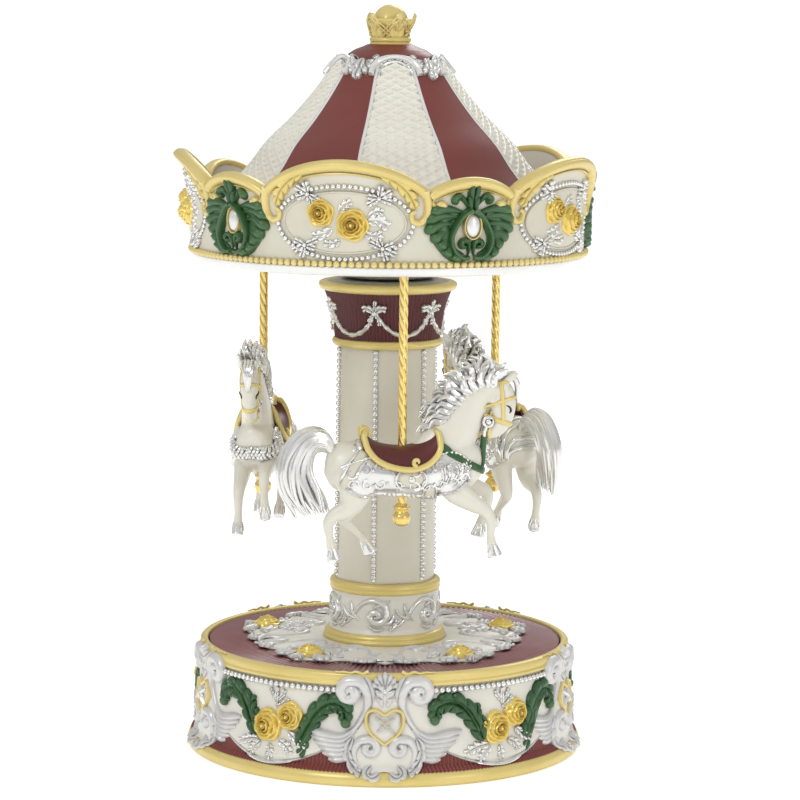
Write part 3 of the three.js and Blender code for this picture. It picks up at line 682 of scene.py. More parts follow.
def base_cartouches():
    """A heart in silver scrolls, under a shell, with feathers at both sides."""
    scrolls, leaves, bodies, hearts, plates, ribbons = (Shape() for _ in range(6))
    heart = smooth_curve([(0, 26.2), (3.2, 28), (6.2, 26.8), (6.5, 22.8), (4.9, 19.4), (2.4, 17.2), (0, 15.6),
                          (-2.4, 17.2), (-4.9, 19.4), (-6.5, 22.8), (-6.2, 26.8), (-3.2, 28)], 60,
                         closed=True)
    bulb = smooth_curve([(0, 36), (4.4, 35), (5.4, 29), (8.6, 22), (12.4, 16.4), (13.2, 11), (10.4, 6.4),
                         (5, 5), (0, 5.6), (-5, 5), (-10.4, 6.4), (-13.2, 11), (-12.4, 16.4), (-8.6, 22),
                         (-5.4, 29), (-4.4, 35)], 72, closed=True)
    for middle in CARTOUCHE:
        front = base_place(middle)
        boss(bodies, front, bulb, 1.7)
        looped(hearts, front, heart, 1.7, 2.9)
        boss(plates, front, heart, 1.9, 9)
        for path in ([(-3.4, 25.4), (0.2, 22.6), (3.4, 19.4)], [(3.4, 25.2), (0.4, 22.8), (-2.8, 19.8)]):
            strand(ribbons, front, smooth_curve(path, 12), 1.9, 3.6,
                   shares=lambda t: 1 - 0.35 * (2 * t - 1) ** 2)
        leaf(leaves, front, [(0, v) for v in np.linspace(28.6, 37, 26)], 8.6, 2.8, lobes=3, across=18,
             cut=0.3)
        for angle in (-62, -40, -20, 0, 20, 40, 62):
            a = math.radians(angle)
            r = np.linspace(0.4, 6.6 - 0.016 * abs(angle), 10)
            path = np.stack([r * math.sin(a), 35 + r * math.cos(a)], -1)
            strand(leaves, front, path, 2.4, 3.0, shares=grow)
        for place in both_sides(front):
            upper = scroll((12.6, 33.8), 0.7, 4.3, 90, 560, 40,
                           [(12.6, 38.1), (9, 37.8), (6.6, 34.8), (6, 31), (6.6, 27.6), (8.8, 23.6),
                            (11.6, 19.6), (13.6, 15.8), (14.2, 11.6)], 40)
            strand(scrolls, place, upper, 4.6, 2.8, 12, fade_out)
            inner = smooth_curve([(7.4, 40), (5.4, 37.6), (4.2, 33.6), (4.4, 29.6)], 16)
            strand(scrolls, place, inner, 2.2, 2.6)
            lower = scroll((5.3, 13.9), 0.6, 3.4, 90, -470, 34,
                           [(5.3, 17.3), (8.9, 16.4), (10.8, 12.8), (10, 8.8), (6.8, 6), (3.4, 6)], 30)
            strand(scrolls, place, lower, 4.2, 3.2, 12, fade_out)
            outer = smooth_curve([(11.6, 17.4), (13.2, 13.4), (12.8, 9.6), (10.6, 6.4), (8.6, 5.2)], 24)
            leaf(leaves, place, outer, 4.6, 2.6, lobes=4, across=12, cut=0.34)
            tuck = smooth_curve([(4.4, 8), (6.6, 5.4), (4.4, 3.8), (1.8, 5)], 16)
            leaf(leaves, place, tuck, 3.6, 2.4, lobes=2)
            for k in range(6):
                root = (9.4 + 0.5 * k, 22 - 1.5 * k)
                bend = (16.4 - 0.5 * k, 17.6 - 1.5 * k)
                tip = (28.6 - 0.9 * k - 0.14 * k * k, 19.4 - 2.05 * k)
                strand(leaves, place, smooth_curve([root, bend, tip], 16), 3.5, 2.7 - 0.12 * k, shares=grow)
            strand(leaves, place, smooth_curve([(13.4, 15), (16.8, 11), (19.4, 8.2)], 12), 2.4, 2.4,
                   shares=grow)
    piece("base_cartouche_bodies", bodies, "base", WHITE)
    piece("base_hearts", hearts, "base", PALE_GOLD)
    piece("base_heart_plates", plates, "base", FROSTED)
    piece("base_heart_ribbons", ribbons, "base", SILVER)
    piece("base_scrolls", scrolls, "base", FROSTED)
    piece("base_fan_leaves", leaves, "base", FROSTED)


PANEL_LEAVES = [[(-5, 13.4), (-10, 12.6), (-15.4, 10.4)], [(-4, 12.6), (-7, 10), (-9.4, 7.4)],
                [(0, 12.4), (0.6, 9.6), (-0.6, 7)], [(4, 14), (7.6, 12), (9.4, 9)],
                [(8, 17.6), (12, 14.6), (15.6, 13)]]
PANEL_SPRIGS = [[(2.4, 27), (2, 30), (2.6, 33.6)], [(2, 28.4), (0.2, 30.4), (-0.8, 32.6)],
                [(2.2, 28.4), (4.4, 30.2), (5.6, 32.6)], [(2, 26), (5, 27.4), (7.4, 29.8)]]


def base_flowers():
    """Two roses with leaves in the middle of each panel."""
    roses, green, silver = Shape(), Shape(), Shape()
    for middle in PANEL:
        place = base_place(middle)
        rose(roses, place, (-1.2, 19), 6.4, 5.2, 0.4)
        rose(roses, place, (8.3, 23.4), 5.5, 4.8, 1.5)
        for path in ([(-7, 15), (-9.6, 20.6), (-13.4, 26.4), (-19, 29.6), (-24.4, 28.2), (-25.8, 23.6)],
                     [(12, 13), (15.4, 19.4), (19, 25.6), (23.8, 29.2), (28.6, 28), (29.8, 22.6)]):
            spine = smooth_curve(path, 44)
            leaf(green, place, spine, 8.4, 2.8, lobes=7, across=18, cut=0.24, lean=0.5)
            bead(green, place(*spine[-1], 0.8), 1.9)
            edge = spine + np.array([1.2, -1.4]) * np.sign(spine[-1, 0])
            strand(green, place, edge[4:], 1.2, 2.9, shares=lambda t: 1 - 0.3 * t)
        leaf(green, place, smooth_curve([(-5, 20), (-8.8, 24.4), (-9.4, 28.6)], 18), 4.4, 2.4, lobes=3)
        leaf(green, place, smooth_curve([(13, 16), (14.6, 12.6), (12.4, 9.6)], 18), 4.6, 2.2, lobes=2)
        leaf_group(silver, place, PANEL_LEAVES, 18, 4.6, 2.2, lobes=4)
        leaf_group(silver, place, PANEL_SPRIGS, 14, 2.2, 1.3, lobes=3, across=8)
    piece("base_roses", roses, "base", ROSE_GOLD)
    piece("base_green_leaves", green, "base", GREEN)
    piece("base_silver_leaves", silver, "base", SILVER)


def back_rim_waves():
    """Small gold waves on the rim, beside each shell."""
    waves = Shape()
    for middle in CARTOUCHE:
        for place in both_sides(base_place(middle)):
            u = np.linspace(6, 18, 30)
            path = np.stack([u, BASE_TOP + 0.2 + 0.5 * np.cos(TAU * (u - 6) / 4.6) * (18 - u) / 12], -1)
            strand(waves, place, path, 1.3, 0.6, shares=lambda t: 1 - 0.6 * t)
    piece("base_rim_waves", waves, "base", PALE_GOLD)


# ---------- deck ----------
def star_edge(degrees):
    """Radius of the pale star on the deck; its five main points are at the roses."""
    turn = np.radians(degrees - PANEL[0])
    return 51 + 2.4 * np.cos(FOLD * turn) + 1.6 * np.cos(2 * FOLD * turn) + 0.9 * np.cos(6 * FOLD * turn)


def deck():
    """The ribbed disc with the pale star, its roses and scrolls."""
    ribs = Shape()
    degrees = full_turn(1440, 360)[None, :]
    r = np.concatenate([[20, 40], np.linspace(46, DECK_R - 0.3, 20)])[:, None]
    rib = 0.28 * np.cos(np.radians(degrees) * 180) * np.clip((r - 44) / 4, 0, 1)
    top = around(r, degrees, DECK_TOP + rib - 0.25)
    under = around(np.array([[DECK_R - 0.2], [4]]), degrees, DECK_TOP - 3)
    ribs.grid(np.concatenate([top, under]), wrap_rows=True, wrap_columns=True)
    piece("deck_ribbed_disc", ribs, "base", DECK_MAROON, ["deck_plate"], crease=70)
    star, edge, scrolls, roses, sprays = (Shape() for _ in range(5))
    degrees = full_turn(720, 360)
    share = np.linspace(0, 1, 40)[:, None]
    inner = 21.5
    r = inner + (star_edge(degrees)[None, :] - inner) * share
    ripple = 0.35 * np.cos(np.radians(degrees)[None, :] * 30) * share**2
    swell = np.sin(np.pi * np.clip(share * 1.02, 0, 1)) ** 0.6
    rise = 0.5 + swell + ripple - 20 * np.clip(share - 0.96, 0, 1)
    star.grid(around(r, degrees[None, :] + 0 * r, DECK_TOP + rise), wrap_columns=True)
    piece("deck_star", star, "base", WHITE)
    rim = around(star_edge(degrees), degrees, DECK_TOP + 0.45)
    tube(edge, rim, 0.5 + 0.2 * np.cos(np.radians(degrees) * 60), 8, closed=True)
    for middle in PANEL:
        place = top_face(middle, DECK_TOP + 1.3)
        rose(roses, place, (0, 47.6), 5.6, 3.6, 0.7 + middle)
        for side in both_sides(place):
            leaf_group(sprays, side, [[(3, 44), (7.6, 43), (12, 45.4)], [(4, 50), (8, 51.6), (11.6, 50.6)],
                                  [(2.4, 42), (5.6, 37.6), (8.6, 36.8)]], 20, 5.2, 1.4, lobes=3, across=12,
                       cut=0.3)
            path = scroll((8.2, 31.6), 0.6, 3.2, -90, 420, 26,
                          [(8.2, 28.4), (12, 28.8), (16, 32), (19, 36.4), (22.6, 38)], 20)
            strand(scrolls, side, path, 2.4, 1.3, shares=fade_out)
        leaf_group(sprays, place, [[(0, 42.4), (0, 37), (0, 30)], [(0, 52), (0, 54.4), (0.4, 56)]], 18, 5.6,
                   1.5,
               lobes=3, across=12, cut=0.3)
    for middle in CARTOUCHE:
        place = top_face(middle, DECK_TOP + 1.1)
        for side in both_sides(place):
            path = smooth_curve([(0.6, 38), (4.4, 41.4), (6, 45.4), (3.6, 48.4), (0.4, 50)], 24)
            strand(scrolls, side, path, 2.2, 1.4)
            leaf_group(sprays, side, [[(3, 49.4), (7.4, 50), (11.4, 48.6)]], 18, 4.2, 1.3, lobes=3, cut=0.3)
    piece("deck_star_edge", edge, "base", FROSTED)
    piece("deck_scrolls", scrolls, "base", FROSTED)
    piece("deck_leaves", sprays, "base", FROSTED)
    piece("deck_roses", roses, "base", ROSE_GOLD)


# ---------- column ----------
STRINGS = 6  # strings of beads down the column
BEAD_LINES = [-13.5 + 360 * k / STRINGS for k in range(STRINGS)]
FOOT_SCROLLS = 6
FOOT_SCROLL_START = -10
FOOT_WALL_R = 20.3
FOOT_TENDRILS = [[(-6.4, 50), (-9.6, 53.4), (-10.4, 57.6)], [(-7.4, 51), (-11.4, 52), (-14.4, 55.2)],
                 [(-3, 48.4), (0, 46.9), (3.4, 47.2)], [(2.2, 49.4), (5.6, 50), (7.2, 53.4)],
                 [(-1.2, 55.2), (2.6, 56.8), (5.8, 58.2)]]


def column_ripple(radius, degrees, z):
    """Slightly flat between the strings of beads."""
    return -0.6 * (0.5 - 0.5 * np.cos(np.radians(degrees - BEAD_LINES[0]) * STRINGS))


def column():
    """The tube with its strings of beads."""
    shell, beads, seams = Shape(), Shape(), Shape()
    lathe(shell, rounded([(COLUMN_R, FOOT_TOP), (COLUMN_R - 0.5, COLUMN_TOP), (16.3, COLUMN_TOP),
                          (16.3, FOOT_TOP)], 0.3),
          200, column_ripple)
    piece("column_tube", shell, "base", CREAM, ["column_shell"])
    count = 38
    random.seed(7)
    for middle in BEAD_LINES:
        for k in range(count):
            z = FOOT_TOP + 3 + (COLUMN_TOP - FOOT_TOP - 4.4) * k / (count - 1)
            r = COLUMN_R - 0.5 * (z - FOOT_TOP) / (COLUMN_TOP - FOOT_TOP)
            bead(beads, around(r + 0.35, middle, z), 0.98 + 0.12 * random.random())
        z = np.linspace(FOOT_TOP + 1.4, COLUMN_TOP - 0.6, 30)
        r = COLUMN_R - 0.15 - 0.5 * (z - FOOT_TOP) / (COLUMN_TOP - FOOT_TOP)
        tube(seams, around(r, middle, z), 0.62, 8)
    piece("column_beads", beads, "base", SILVER)
    piece("column_bead_seams", seams, "base", SILVER)


def column_foot():
    """The block at the foot, with gold rings and silver scrolls."""
    block, rings, scrolls = Shape(), Shape(), Shape()
    lathe(block, rounded([(21.4, 42), (21.2, 45.2), (FOOT_WALL_R, 46.4), (FOOT_WALL_R, 58.4), (20.5, 59.6),
                          (20.5, 60.6), (16, 60.6), (16, 42)], 0.6))
    piece("foot_block", block, "base", WHITE, ["column_foot"])
    lathe(rings, rounded([(21, DECK_TOP), (FOOT_R, DECK_TOP), (23.4, 42.2), (22.8, 42.9), (22.9, 43.6),
                          (22.4, 44.6), (21, 45.2), (20, 44)], 0.7))
    lathe(rings, rounded([(19.6, 59.6), (20.6, 59.7), (21.1, 60.6), (20.9, 61.5), (21.2, 62.4),
                          (20.8, FOOT_TOP), (19.4, FOOT_TOP + 0.5), (16.4, FOOT_TOP), (16.4, 59.8)], 0.55))
    piece("foot_gold_rings", rings, "base", PALE_GOLD)
    for k in range(FOOT_SCROLLS):
        place = wall(FOOT_SCROLL_START + 360 * k / FOOT_SCROLLS, 0, lambda z: FOOT_WALL_R)
        wave = scroll((0, 52.2), 0.5, 3.7, 0, 520, 38,
                      [(3.7, 52.2), (3, 56), (-0.6, 58), (-4.6, 56.6), (-7.4, 52.8), (-10.4, 49), (-14, 47.2),
                       (-17, 48.2)], 34)
        strand(scrolls, place, wave * [1.15, 1], 2.6, 1.5, 10, fade_out)
        for path in FOOT_TENDRILS:
            strand(scrolls, place, smooth_curve(path, 12), 1.5, 1.1)
        leaf(scrolls, place, smooth_curve([(5, 47), (7, 48.4), (8.4, 51)], 12), 2.6, 1.0, lobes=3, across=8)
    piece("foot_scrolls", scrolls, "base", SILVER)


LIP_BOTTOM = CAPITAL_TOP - 3.8
CAPITAL_WALL = [(COLUMN_TOP, 20), (COLUMN_TOP + 3, 19.7), (COLUMN_TOP + 10, 20.7), (COLUMN_TOP + 15, 21.7),
                (LIP_BOTTOM, 23.9), (LIP_BOTTOM + 2, 24.2)]
SWAG_TOP = COLUMN_TOP + 14


def capital_radius(z):
    """Outer radius of the capital at a height."""
    rows = smooth_curve(CAPITAL_WALL, 60)
    return np.interp(z, rows[:, 0], rows[:, 1])


def cabled(t):
    """Fullest in the middle, with a twist like that of a cord."""
    return 0.6 + 0.4 * np.sin(np.pi * t) + 0.16 * np.cos(t * 50)


def capital():
    """The fluted bell with its gold rings, silver swags and pale top."""
    flutes, rings, silver, disc = Shape(), Shape(), Shape(), Shape()
    z = np.linspace(COLUMN_TOP + 2, LIP_BOTTOM + 1.2, 30)
    outline = np.stack([capital_radius(z), z], -1)
    lathe(flutes, np.concatenate([outline, [(17, z[-1]), (17, z[0])]]), 720,
          lambda r, degrees, z: np.where(r > 18, 0.26 * np.cos(np.radians(degrees) * 90), 0))
    # The capital's darker maroon is painted shade, for the shade under the canopy.
    piece("capital_flutes", flutes, "base", DARK_MAROON, ["column_capital"], crease=80)
    neck = [(19, -0.4), (20.2, 0), (20.9, 0.9), (20.9, 1.9), (20.4, 2.7), (19, 3.1), (16.6, 2.6), (16.6, 0)]
    lathe(rings, rounded(lifted(neck, COLUMN_TOP), 0.7))
    lip = [(22, -0.5), (24.2, -0.4), (25.6, 0.2), (LIP_R, 1.5), (LIP_R - 0.2, 2.5), (25, 3.1), (23, 3.1),
           (22, 2.4), (17, 1)]
    lathe(rings, rounded(lifted(lip, LIP_BOTTOM), 0.6))
    piece("capital_gold_rings", rings, "base", PALE_GOLD)
    lathe(disc, rounded([(23.2, LIP_BOTTOM + 1), (23, LIP_BOTTOM + 2.6), (19.6, CAPITAL_TOP),
                         (4, CAPITAL_TOP), (4, LIP_BOTTOM + 1)], 0.3), 120)
    piece("capital_top_disc", disc, "base", GREY)
    for middle in BEAD_LINES:
        place = wall(middle, SWAG_TOP, capital_radius)
        swag = smooth_curve([(0.6, 0), (2.8, -4), (6.4, -7.4), (11.3, -9), (16.2, -7.4), (19.8, -4),
                             (22.1, 0)], 40)
        strand(silver, place, swag, 1.9, 1.5, shares=cabled)
        leaf(silver, place, smooth_curve([(0, -1), (0.2, 2), (0.6, 4.6)], 12), 1.9, 1.4, lobes=2, across=8)
        for side in both_sides(place):
            leaf(silver, side, smooth_curve([(0.2, -0.2), (2.4, 1.4), (4.4, 1)], 12), 3.4, 1.9, lobes=2,
                 across=10)
            leaf(silver, side, smooth_curve([(0.2, -0.6), (1.6, -2.8), (1.8, -5.2)], 12), 2.2, 1.5, lobes=3,
                 across=8)
        bead(silver, place(0, -0.4, 1), 1.0)
    piece("capital_swags", silver, "base", SILVER)


base_shell()
base_panels()
base_cartouches()
base_flowers()
back_rim_waves()
deck()
column()
column_foot()
capital()


# ---------- canopy ----------
BAND_WIDTH = 3.6


def valance_radius(z):
    """Outer radius of the valance wall at a height."""
    z = np.asarray(z, float)
    flare = 6.3 * (np.clip(z - VALANCE_BEND, 0, None) / 23) ** 1.8
    foot = np.interp(z, [VALANCE_BOTTOM, VALANCE_BOTTOM + 3], [-1.4, 0])
    return VALANCE_R + flare + foot


def valance_top(degrees):
    """Height of the scalloped top edge."""
    turn = (np.asarray(degrees, float) - (LARGE_MIDDLE - LARGE_SPAN / 2)) % SECTOR
    large = turn < LARGE_SPAN
    share = np.where(large, turn / LARGE_SPAN, (turn - LARGE_SPAN) / SMALL_SPAN)
    peak = np.where(large, LARGE_PEAK, SMALL_PEAK)
    return VALLEY + (peak - VALLEY) * np.sin(np.pi * np.clip(share, 0, 1)) ** 0.65


def valance():
    """The scalloped wall with its gold edge, white rim and row of beads."""
    sheet, edge, rim, beads = Shape(), Shape(), Shape(), Shape()
    degrees = np.arange(0, 360, 0.4)
    top = valance_top(degrees) - 1.2
    steps = np.concatenate([[0.0, 0.07], np.linspace(0.12, 1, 22)])
    outside = [VALANCE_BOTTOM + (top - VALANCE_BOTTOM) * t for t in steps]
    rows = [around(valance_radius(z), degrees, z) for z in outside]
    rows += [around(valance_radius(z) - VALANCE_THICK, degrees, z) for z in outside[::-1]]
    sheet.grid(rows, wrap_rows=True, wrap_columns=True)
    piece("valance_wall", sheet, "carousel", CREAM, ["valance_ring"])
    z = valance_top(degrees) - 0.9
    path = around(valance_radius(z) - VALANCE_THICK / 2, degrees, z)
    out = around(np.ones_like(degrees), degrees, 0 * z)
    sweep(edge, path, out, oval_section(VALANCE_THICK + 1.7, 2.7, 14, 0.75)[:, ::-1], closed=True)
    piece("valance_gold_edge", edge, "carousel", PALE_GOLD)
    lathe(rim, rounded([(VALANCE_R - 3.4, VALANCE_BOTTOM - 0.2), (VALANCE_R - 1.2, VALANCE_BOTTOM - 0.2),
                        (VALANCE_R + 0.1, VALANCE_BOTTOM + 1.4), (VALANCE_R + 0.4, VALANCE_BOTTOM + 3.2),
                        (VALANCE_R - 3.4, VALANCE_BOTTOM + 3.4)], 0.7), 240)
    piece("valance_white_rim", rim, "carousel", PEARL)
    count = 172
    for k in range(count):
        bead(beads, around(VALANCE_R + 0.55, 360 * k / count, VALANCE_BOTTOM + 4.2), 1.28)
    piece("valance_bead_row", beads, "carousel", PALE_GOLD)


def valance_place(middle):
    """The valance's wall round the middle of a scallop."""
    return wall(middle, 0, valance_radius)


def edge_path(middle, span, inset, steps=60):
    """(u, z) points just inside the top edge of a scallop, from its left valley to its right one."""
    degrees = np.linspace(-span / 2 + inset, span / 2 - inset, steps)
    z = valance_top(middle + degrees)
    return np.stack([np.radians(degrees) * valance_radius(z), z], -1)


def valance_scrolls():
    """Gold bands and scrolls inside the scallops."""
    gold = Shape()
    for turn in range(FOLD):
        middle = LARGE_MIDDLE + SECTOR * turn
        place = valance_place(middle)
        arch = edge_path(middle, LARGE_SPAN, 0.5)
        strand(gold, place, arch - [0, 2.1], BAND_WIDTH, 2.0, 12, shares=even)
        strand(gold, place, edge_path(middle, LARGE_SPAN, 3.4) - [0, 4.6], 0.9, 0.9, shares=even)
        for side in both_sides(place):
            hook = smooth_curve([(29.6, 215.4), (30.4, 211), (30, 207), (27.8, 204.2), (25, 204.6),
                                 (24.4, 207), (26, 208.2)], 34)
            strand(gold, side, hook, 3.4, 2.4, 10, shares=lambda t: 1 - 0.5 * t)
            fringe = smooth_curve([(14, 221.4), (19, 218.8), (23.4, 214.6), (25.8, 209.4)], 30)
            leaf(gold, side, fringe, 5.6, 2.2, lobes=5, across=14, cut=0.4, lean=0.7)
        middle = SMALL_MIDDLE + SECTOR * turn
        place = valance_place(middle)
        arch = edge_path(middle, SMALL_SPAN, 0.6)
        strand(gold, place, arch - [0, 2.0], BAND_WIDTH, 2.0, 12, shares=even)
        strand(gold, place, edge_path(middle, SMALL_SPAN, 2.4) - [0, 4.3], 0.8, 0.8, shares=even)
        for side in both_sides(place):
            path = scroll((11.8, 209.6), 0.5, 2.2, 0, 440, 28, [(14, 209.6), (14.9, 211.6), (14.4, 214)], 12)
            strand(gold, side, path, 3.2, 2.2, 10, fade_out)
    piece("valance_scrolls", gold, "carousel", PALE_GOLD)


MEDALLION_Z = 203.9  # height of the middle of the oval medallions
MEDALLION_CORNERS = [(13.2, 212.8, 30), (-12.4, 213.8, 150), (-13.8, 195.6, 205), (14.2, 195, 335)]
CORNER_LEAVES = [(0, 5.4), (48, 4.6), (-48, 4.6), (180, 5.2),
                 (140, 4)]  # degrees off the corner's own, length
MEDALLION_LEAVES = [([(-1.2, 207.6), (0.8, 210), (3.6, 211.6)], 4.2),
                    ([(8.6, 204.4), (12.6, 204.8), (16.4, 202.6)], 6),
                    ([(7.6, 200.4), (11, 199.4), (14.4, 200.4)], 4.4),
                    ([(-3.4, 201.8), (-7.4, 199.6), (-11.4, 198.8)], 5),
                    ([(-0.6, 197.6), (-3.4, 196.4), (-7, 196.6)], 4),
                    ([(9, 206), (12, 208), (14.6, 207.8)], 4)]


def medallions():
    """An oval frame of beads with two roses and leaves, on each large scallop."""
    pearls, silver, roses, fields = (Shape() for _ in range(4))
    for turn in range(FOLD):
        place = valance_place(LARGE_MIDDLE + SECTOR * turn)
        boss(fields, place, oval(0, MEDALLION_Z, 22.8, 11.2, 72), 1.0, 10)
        looped(fields, place, oval(0, MEDALLION_Z, 22.4, 10.9, 72), 0.9, 0.9)
        ring = oval(0, MEDALLION_Z, 25, 13, 240)
        bead_row(pearls, place, np.concatenate([ring, ring[:1]]), 0.95, 2.05, 0.3)
        rose(roses, place, (-7.9, 207.2), 5.3, 5.2, 0.3)
        rose(roses, place, (3.6, 203.2), 6.2, 5.6, 1.2)
        for corner_u, corner_v, angle in MEDALLION_CORNERS:
            for spread, length in CORNER_LEAVES:
                a = math.radians(angle + spread)
                r = np.linspace(0.3, length, 12)
                path = np.stack([corner_u + r * math.cos(a), corner_v + r * math.sin(a)], -1)
                leaf(silver, place, path, 3.2, 2.3, lobes=2, across=10, cut=0.26)
            bead(silver, place(corner_u, corner_v, 1.6), 0.8)
        for path, width in MEDALLION_LEAVES:
            leaf(silver, place, smooth_curve(path, 18), width, 2.0, lobes=3, across=12, cut=0.3)
    piece("medallion_fields", fields, "carousel", CREAM)
    piece("medallion_beads", pearls, "carousel", SILVER)
    piece("medallion_leaves", silver, "carousel", SILVER)
    piece("medallion_roses", roses, "carousel", ROSE_GOLD)


CARTOUCHE_FLUTES = [((2.2, 207.4), (16.4, 207.8)), ((4.4, 206), (17.6, 204.6)), ((6, 203.6), (17.2, 200.8)),
                    ((7, 200.8), (14.8, 197.4)), ((7.4, 198), (12, 194.6)), ((6.8, 195.4), (9.6, 191.8)),
                    ((5, 193.4), (6, 190.2))]


def green_cartouches():
    """A green carved cartouche with a stone, on each small scallop."""
    green, rings, stones = Shape(), Shape(), Shape()
    for turn in range(FOLD):
        front = valance_place(SMALL_MIDDLE + SECTOR * turn)
        leaf(green, front, [(0.1, v) for v in np.linspace(207.6, 217.6, 20)], 5.4, 3.2, lobes=2, across=14,
             cut=0.22)
        boss(stones, front, oval(0.4, 202.9, 2.9, 4.3, 36), 2.4)
        looped(rings, front, oval(0.4, 202.9, 3.2, 4.7, 48), 0.8, 2.0)
        for place in both_sides(front):
            curl = smooth_curve([(0.6, 208.4), (2.8, 211.6), (5, 213.6), (6.6, 212.4), (5.8, 210.6)], 20)
            strand(green, place, curl, 3.2, 3.0, shares=grow)
            for root, tip in CARTOUCHE_FLUTES:
                mid = (0.5 * (root[0] + tip[0]), 0.5 * (root[1] + tip[1]) + 1.3)  # each flute arches a little
                strand(green, place, smooth_curve([root, mid, tip], 16), 4.5, 3.1, 10, shares=grow)
            joint = smooth_curve([(6, 207.6), (10.4, 206), (11.4, 202.6), (10.8, 199), (9.4, 196),
                                  (7.2, 193.2), (3.4, 191.4)], 36)
            strand(green, place, joint, 8, 1.9, 12, shares=lambda t: 1 - 0.45 * np.abs(2 * t - 0.9))
            pear = smooth_curve([(0.4, 208.6), (3.2, 206.8), (6, 202.8), (7.6, 198.4), (6.6, 194.2),
                                 (3.8, 191.8), (1, 191.6)], 40)
            strand(green, place, pear, 2.6, 3.4, 10, shares=lambda t: 1 - 0.2 * t)
            curl = scroll((2.9, 196.4), 0.4, 1.8, 180, 400, 20, [(1.1, 196.4), (0.9, 193.8), (1.4, 191.4)],
                          10)
            strand(green, place, curl, 2.4, 2.8, shares=fade_out)
    piece("cartouche_leaves", green, "carousel", GREEN)
    piece("cartouche_rings", rings, "carousel", PALE_GOLD)
    piece("cartouche_stones", stones, "carousel", PEARL)


# ---------- roof ----------
ROOF_OUTLINE = [(70.1, 203.6), (66, 207), (59, 213), (52, 220.5), (45.5, 229), (36.4, 238), (28.6, 247),
                (21.8, 256), (17.4, 260.6)]
GORE = SECTOR / 2  # degrees that one of the ten gores takes up
GORE_START = LARGE_MIDDLE


def roof_curve():
    """[r, z] points of the roof from the edge up to the crown."""
    return smooth_curve(ROOF_OUTLINE, 240)


def roof_place(middle):
    """Maps (u, s, n): u along the ring in mm, s the distance down the slope from the top, n outwards."""
    rows = roof_curve()[::-1]
    run = np.concatenate([[0], np.cumsum(np.linalg.norm(np.diff(rows, axis=0), axis=1))])
    slope = tangents(rows)

    def place(u, s, n):
        radius, z = np.interp(s, run, rows[:, 0]), np.interp(s, run, rows[:, 1])
        tilt_r, tilt_z = -np.interp(s, run, slope[:, 1]), np.interp(s, run, slope[:, 0])
        degrees = middle + np.degrees(u / radius)
        return around(radius + n * tilt_r, degrees, z + n * tilt_z)
    return place


def lattice(u, radius, down):
    """Height of the raised diamond lines on a pale gore."""
    cell = 4.2 + 4.0 * radius / 70
    rise = 0
    for side in (1, -1):
        phase = u / cell + side * down
        gap = np.abs(phase - np.round(phase)) * cell * 0.62
        rise = np.maximum(rise, 1.0 * np.exp(-((gap / 0.78) ** 2)))
    return rise


def roof():
    """Ten gores, pale with a lattice and plain maroon by turns, with ribs between them."""
    pale, dark, ribs, under = (Shape() for _ in range(4))
    rows = roof_curve()
    radius, z = rows[:, 0, None], rows[:, 1, None]
    slope = tangents(rows)
    out_r, out_z = slope[:, 1, None], -slope[:, 0, None]
    step = np.linalg.norm(np.diff(rows, axis=0, prepend=rows[:1]), axis=1)
    down = np.cumsum(step / (2.5 + 2.4 * rows[:, 0] / 70))[:, None]
    for k in range(2 * FOLD):
        middle = GORE_START + GORE / 2 + GORE * k
        share = np.linspace(-1, 1, 109)[None, :]
        degrees = middle + GORE / 2 * share
        u = np.radians(GORE / 2 * share) * radius
        if k % 2 == 0:
            lift = lattice(u, radius, down) * np.clip((1 - np.abs(share)) * radius / 3, 0, 1)
            pale.grid(around(radius + out_r * lift, degrees, z + out_z * lift))
        else:
            lift = 0.5 - 0.5 * (1 - share**2) * radius / 70
            dark.grid(around(radius + out_r * lift, degrees, z + out_z * lift))
        path = around(rows[:, 0], GORE_START + GORE * k, rows[:, 1])
        tube(ribs, path[::3], 0.85, 8)
    piece("roof_pale_gores", pale, "carousel", LATTICE, ["roof_shell"])
    piece("roof_maroon_gores", dark, "carousel", MAROON)
    piece("roof_ribs", ribs, "carousel", PEARL)
    lathe(under, [(10, 259.4), (17, 258.2), (28, 245.2), (36, 236), (45, 226.4), (58, 211.6), (69, 200.4),
                  (69.9, 203.2)], closed=False)
    piece("roof_lining", under, "carousel", CREAM)


def roof_top():
    """The dome under the crown, and the arches and palmettes round it."""
    dome, arches, leaves = Shape(), Shape(), Shape()
    lathe(dome, rounded([(18.4, 257.6), (18, 259.8), (16.2, 261.8), (13.2, 263.8), (10, 265), (8.8, 265.6),
                         (7, 266), (3.4, 266), (3.4, 259), (10, 257.6)], 0.9))
    piece("roof_dome", dome, "carousel", MAROON)
    for k in range(2 * FOLD):
        place = roof_place(GORE_START + GORE / 2 + GORE * k)
        if k % 2 == 0:
            arch = smooth_curve([(-9, 8.6), (-8.2, 5.2), (-5, 1.7), (0, 0.2), (5, 1.7), (8.2, 5.2), (9, 8.6)],
                                36)
            strand(arches, place, arch, 2.3, 2.6, 12, shares=even)
            strand(leaves, place, arch * [0.72, 1] + [0, 2], 1.3, 1.5)
            for side in both_sides(place):
                leaf(leaves, side, smooth_curve([(0.4, 2), (2.4, 1.2), (4.8, 2.6)], 12), 2.6, 1.8, lobes=2)
        else:
            leaf(leaves, place, [(0, s) for s in np.linspace(1.2, 10.4, 20)], 4.2, 3.2, lobes=2, across=14,
                 cut=0.2)
            fan(leaves, place, (0, 1.6), (-72, -50, -28, 28, 50, 72), (5.4, 6.6, 7.4, 7.4, 6.6, 5.4), 2.6,
                2.8)
            for side in both_sides(place):
                strand(leaves, side, spiral((4.6, 1), 1.7, 0.4, 180, 400, 20), 1.4, 2.8)
    piece("roof_arches", arches, "carousel", PEARL)
    piece("roof_palmettes", leaves, "carousel", SILVER)


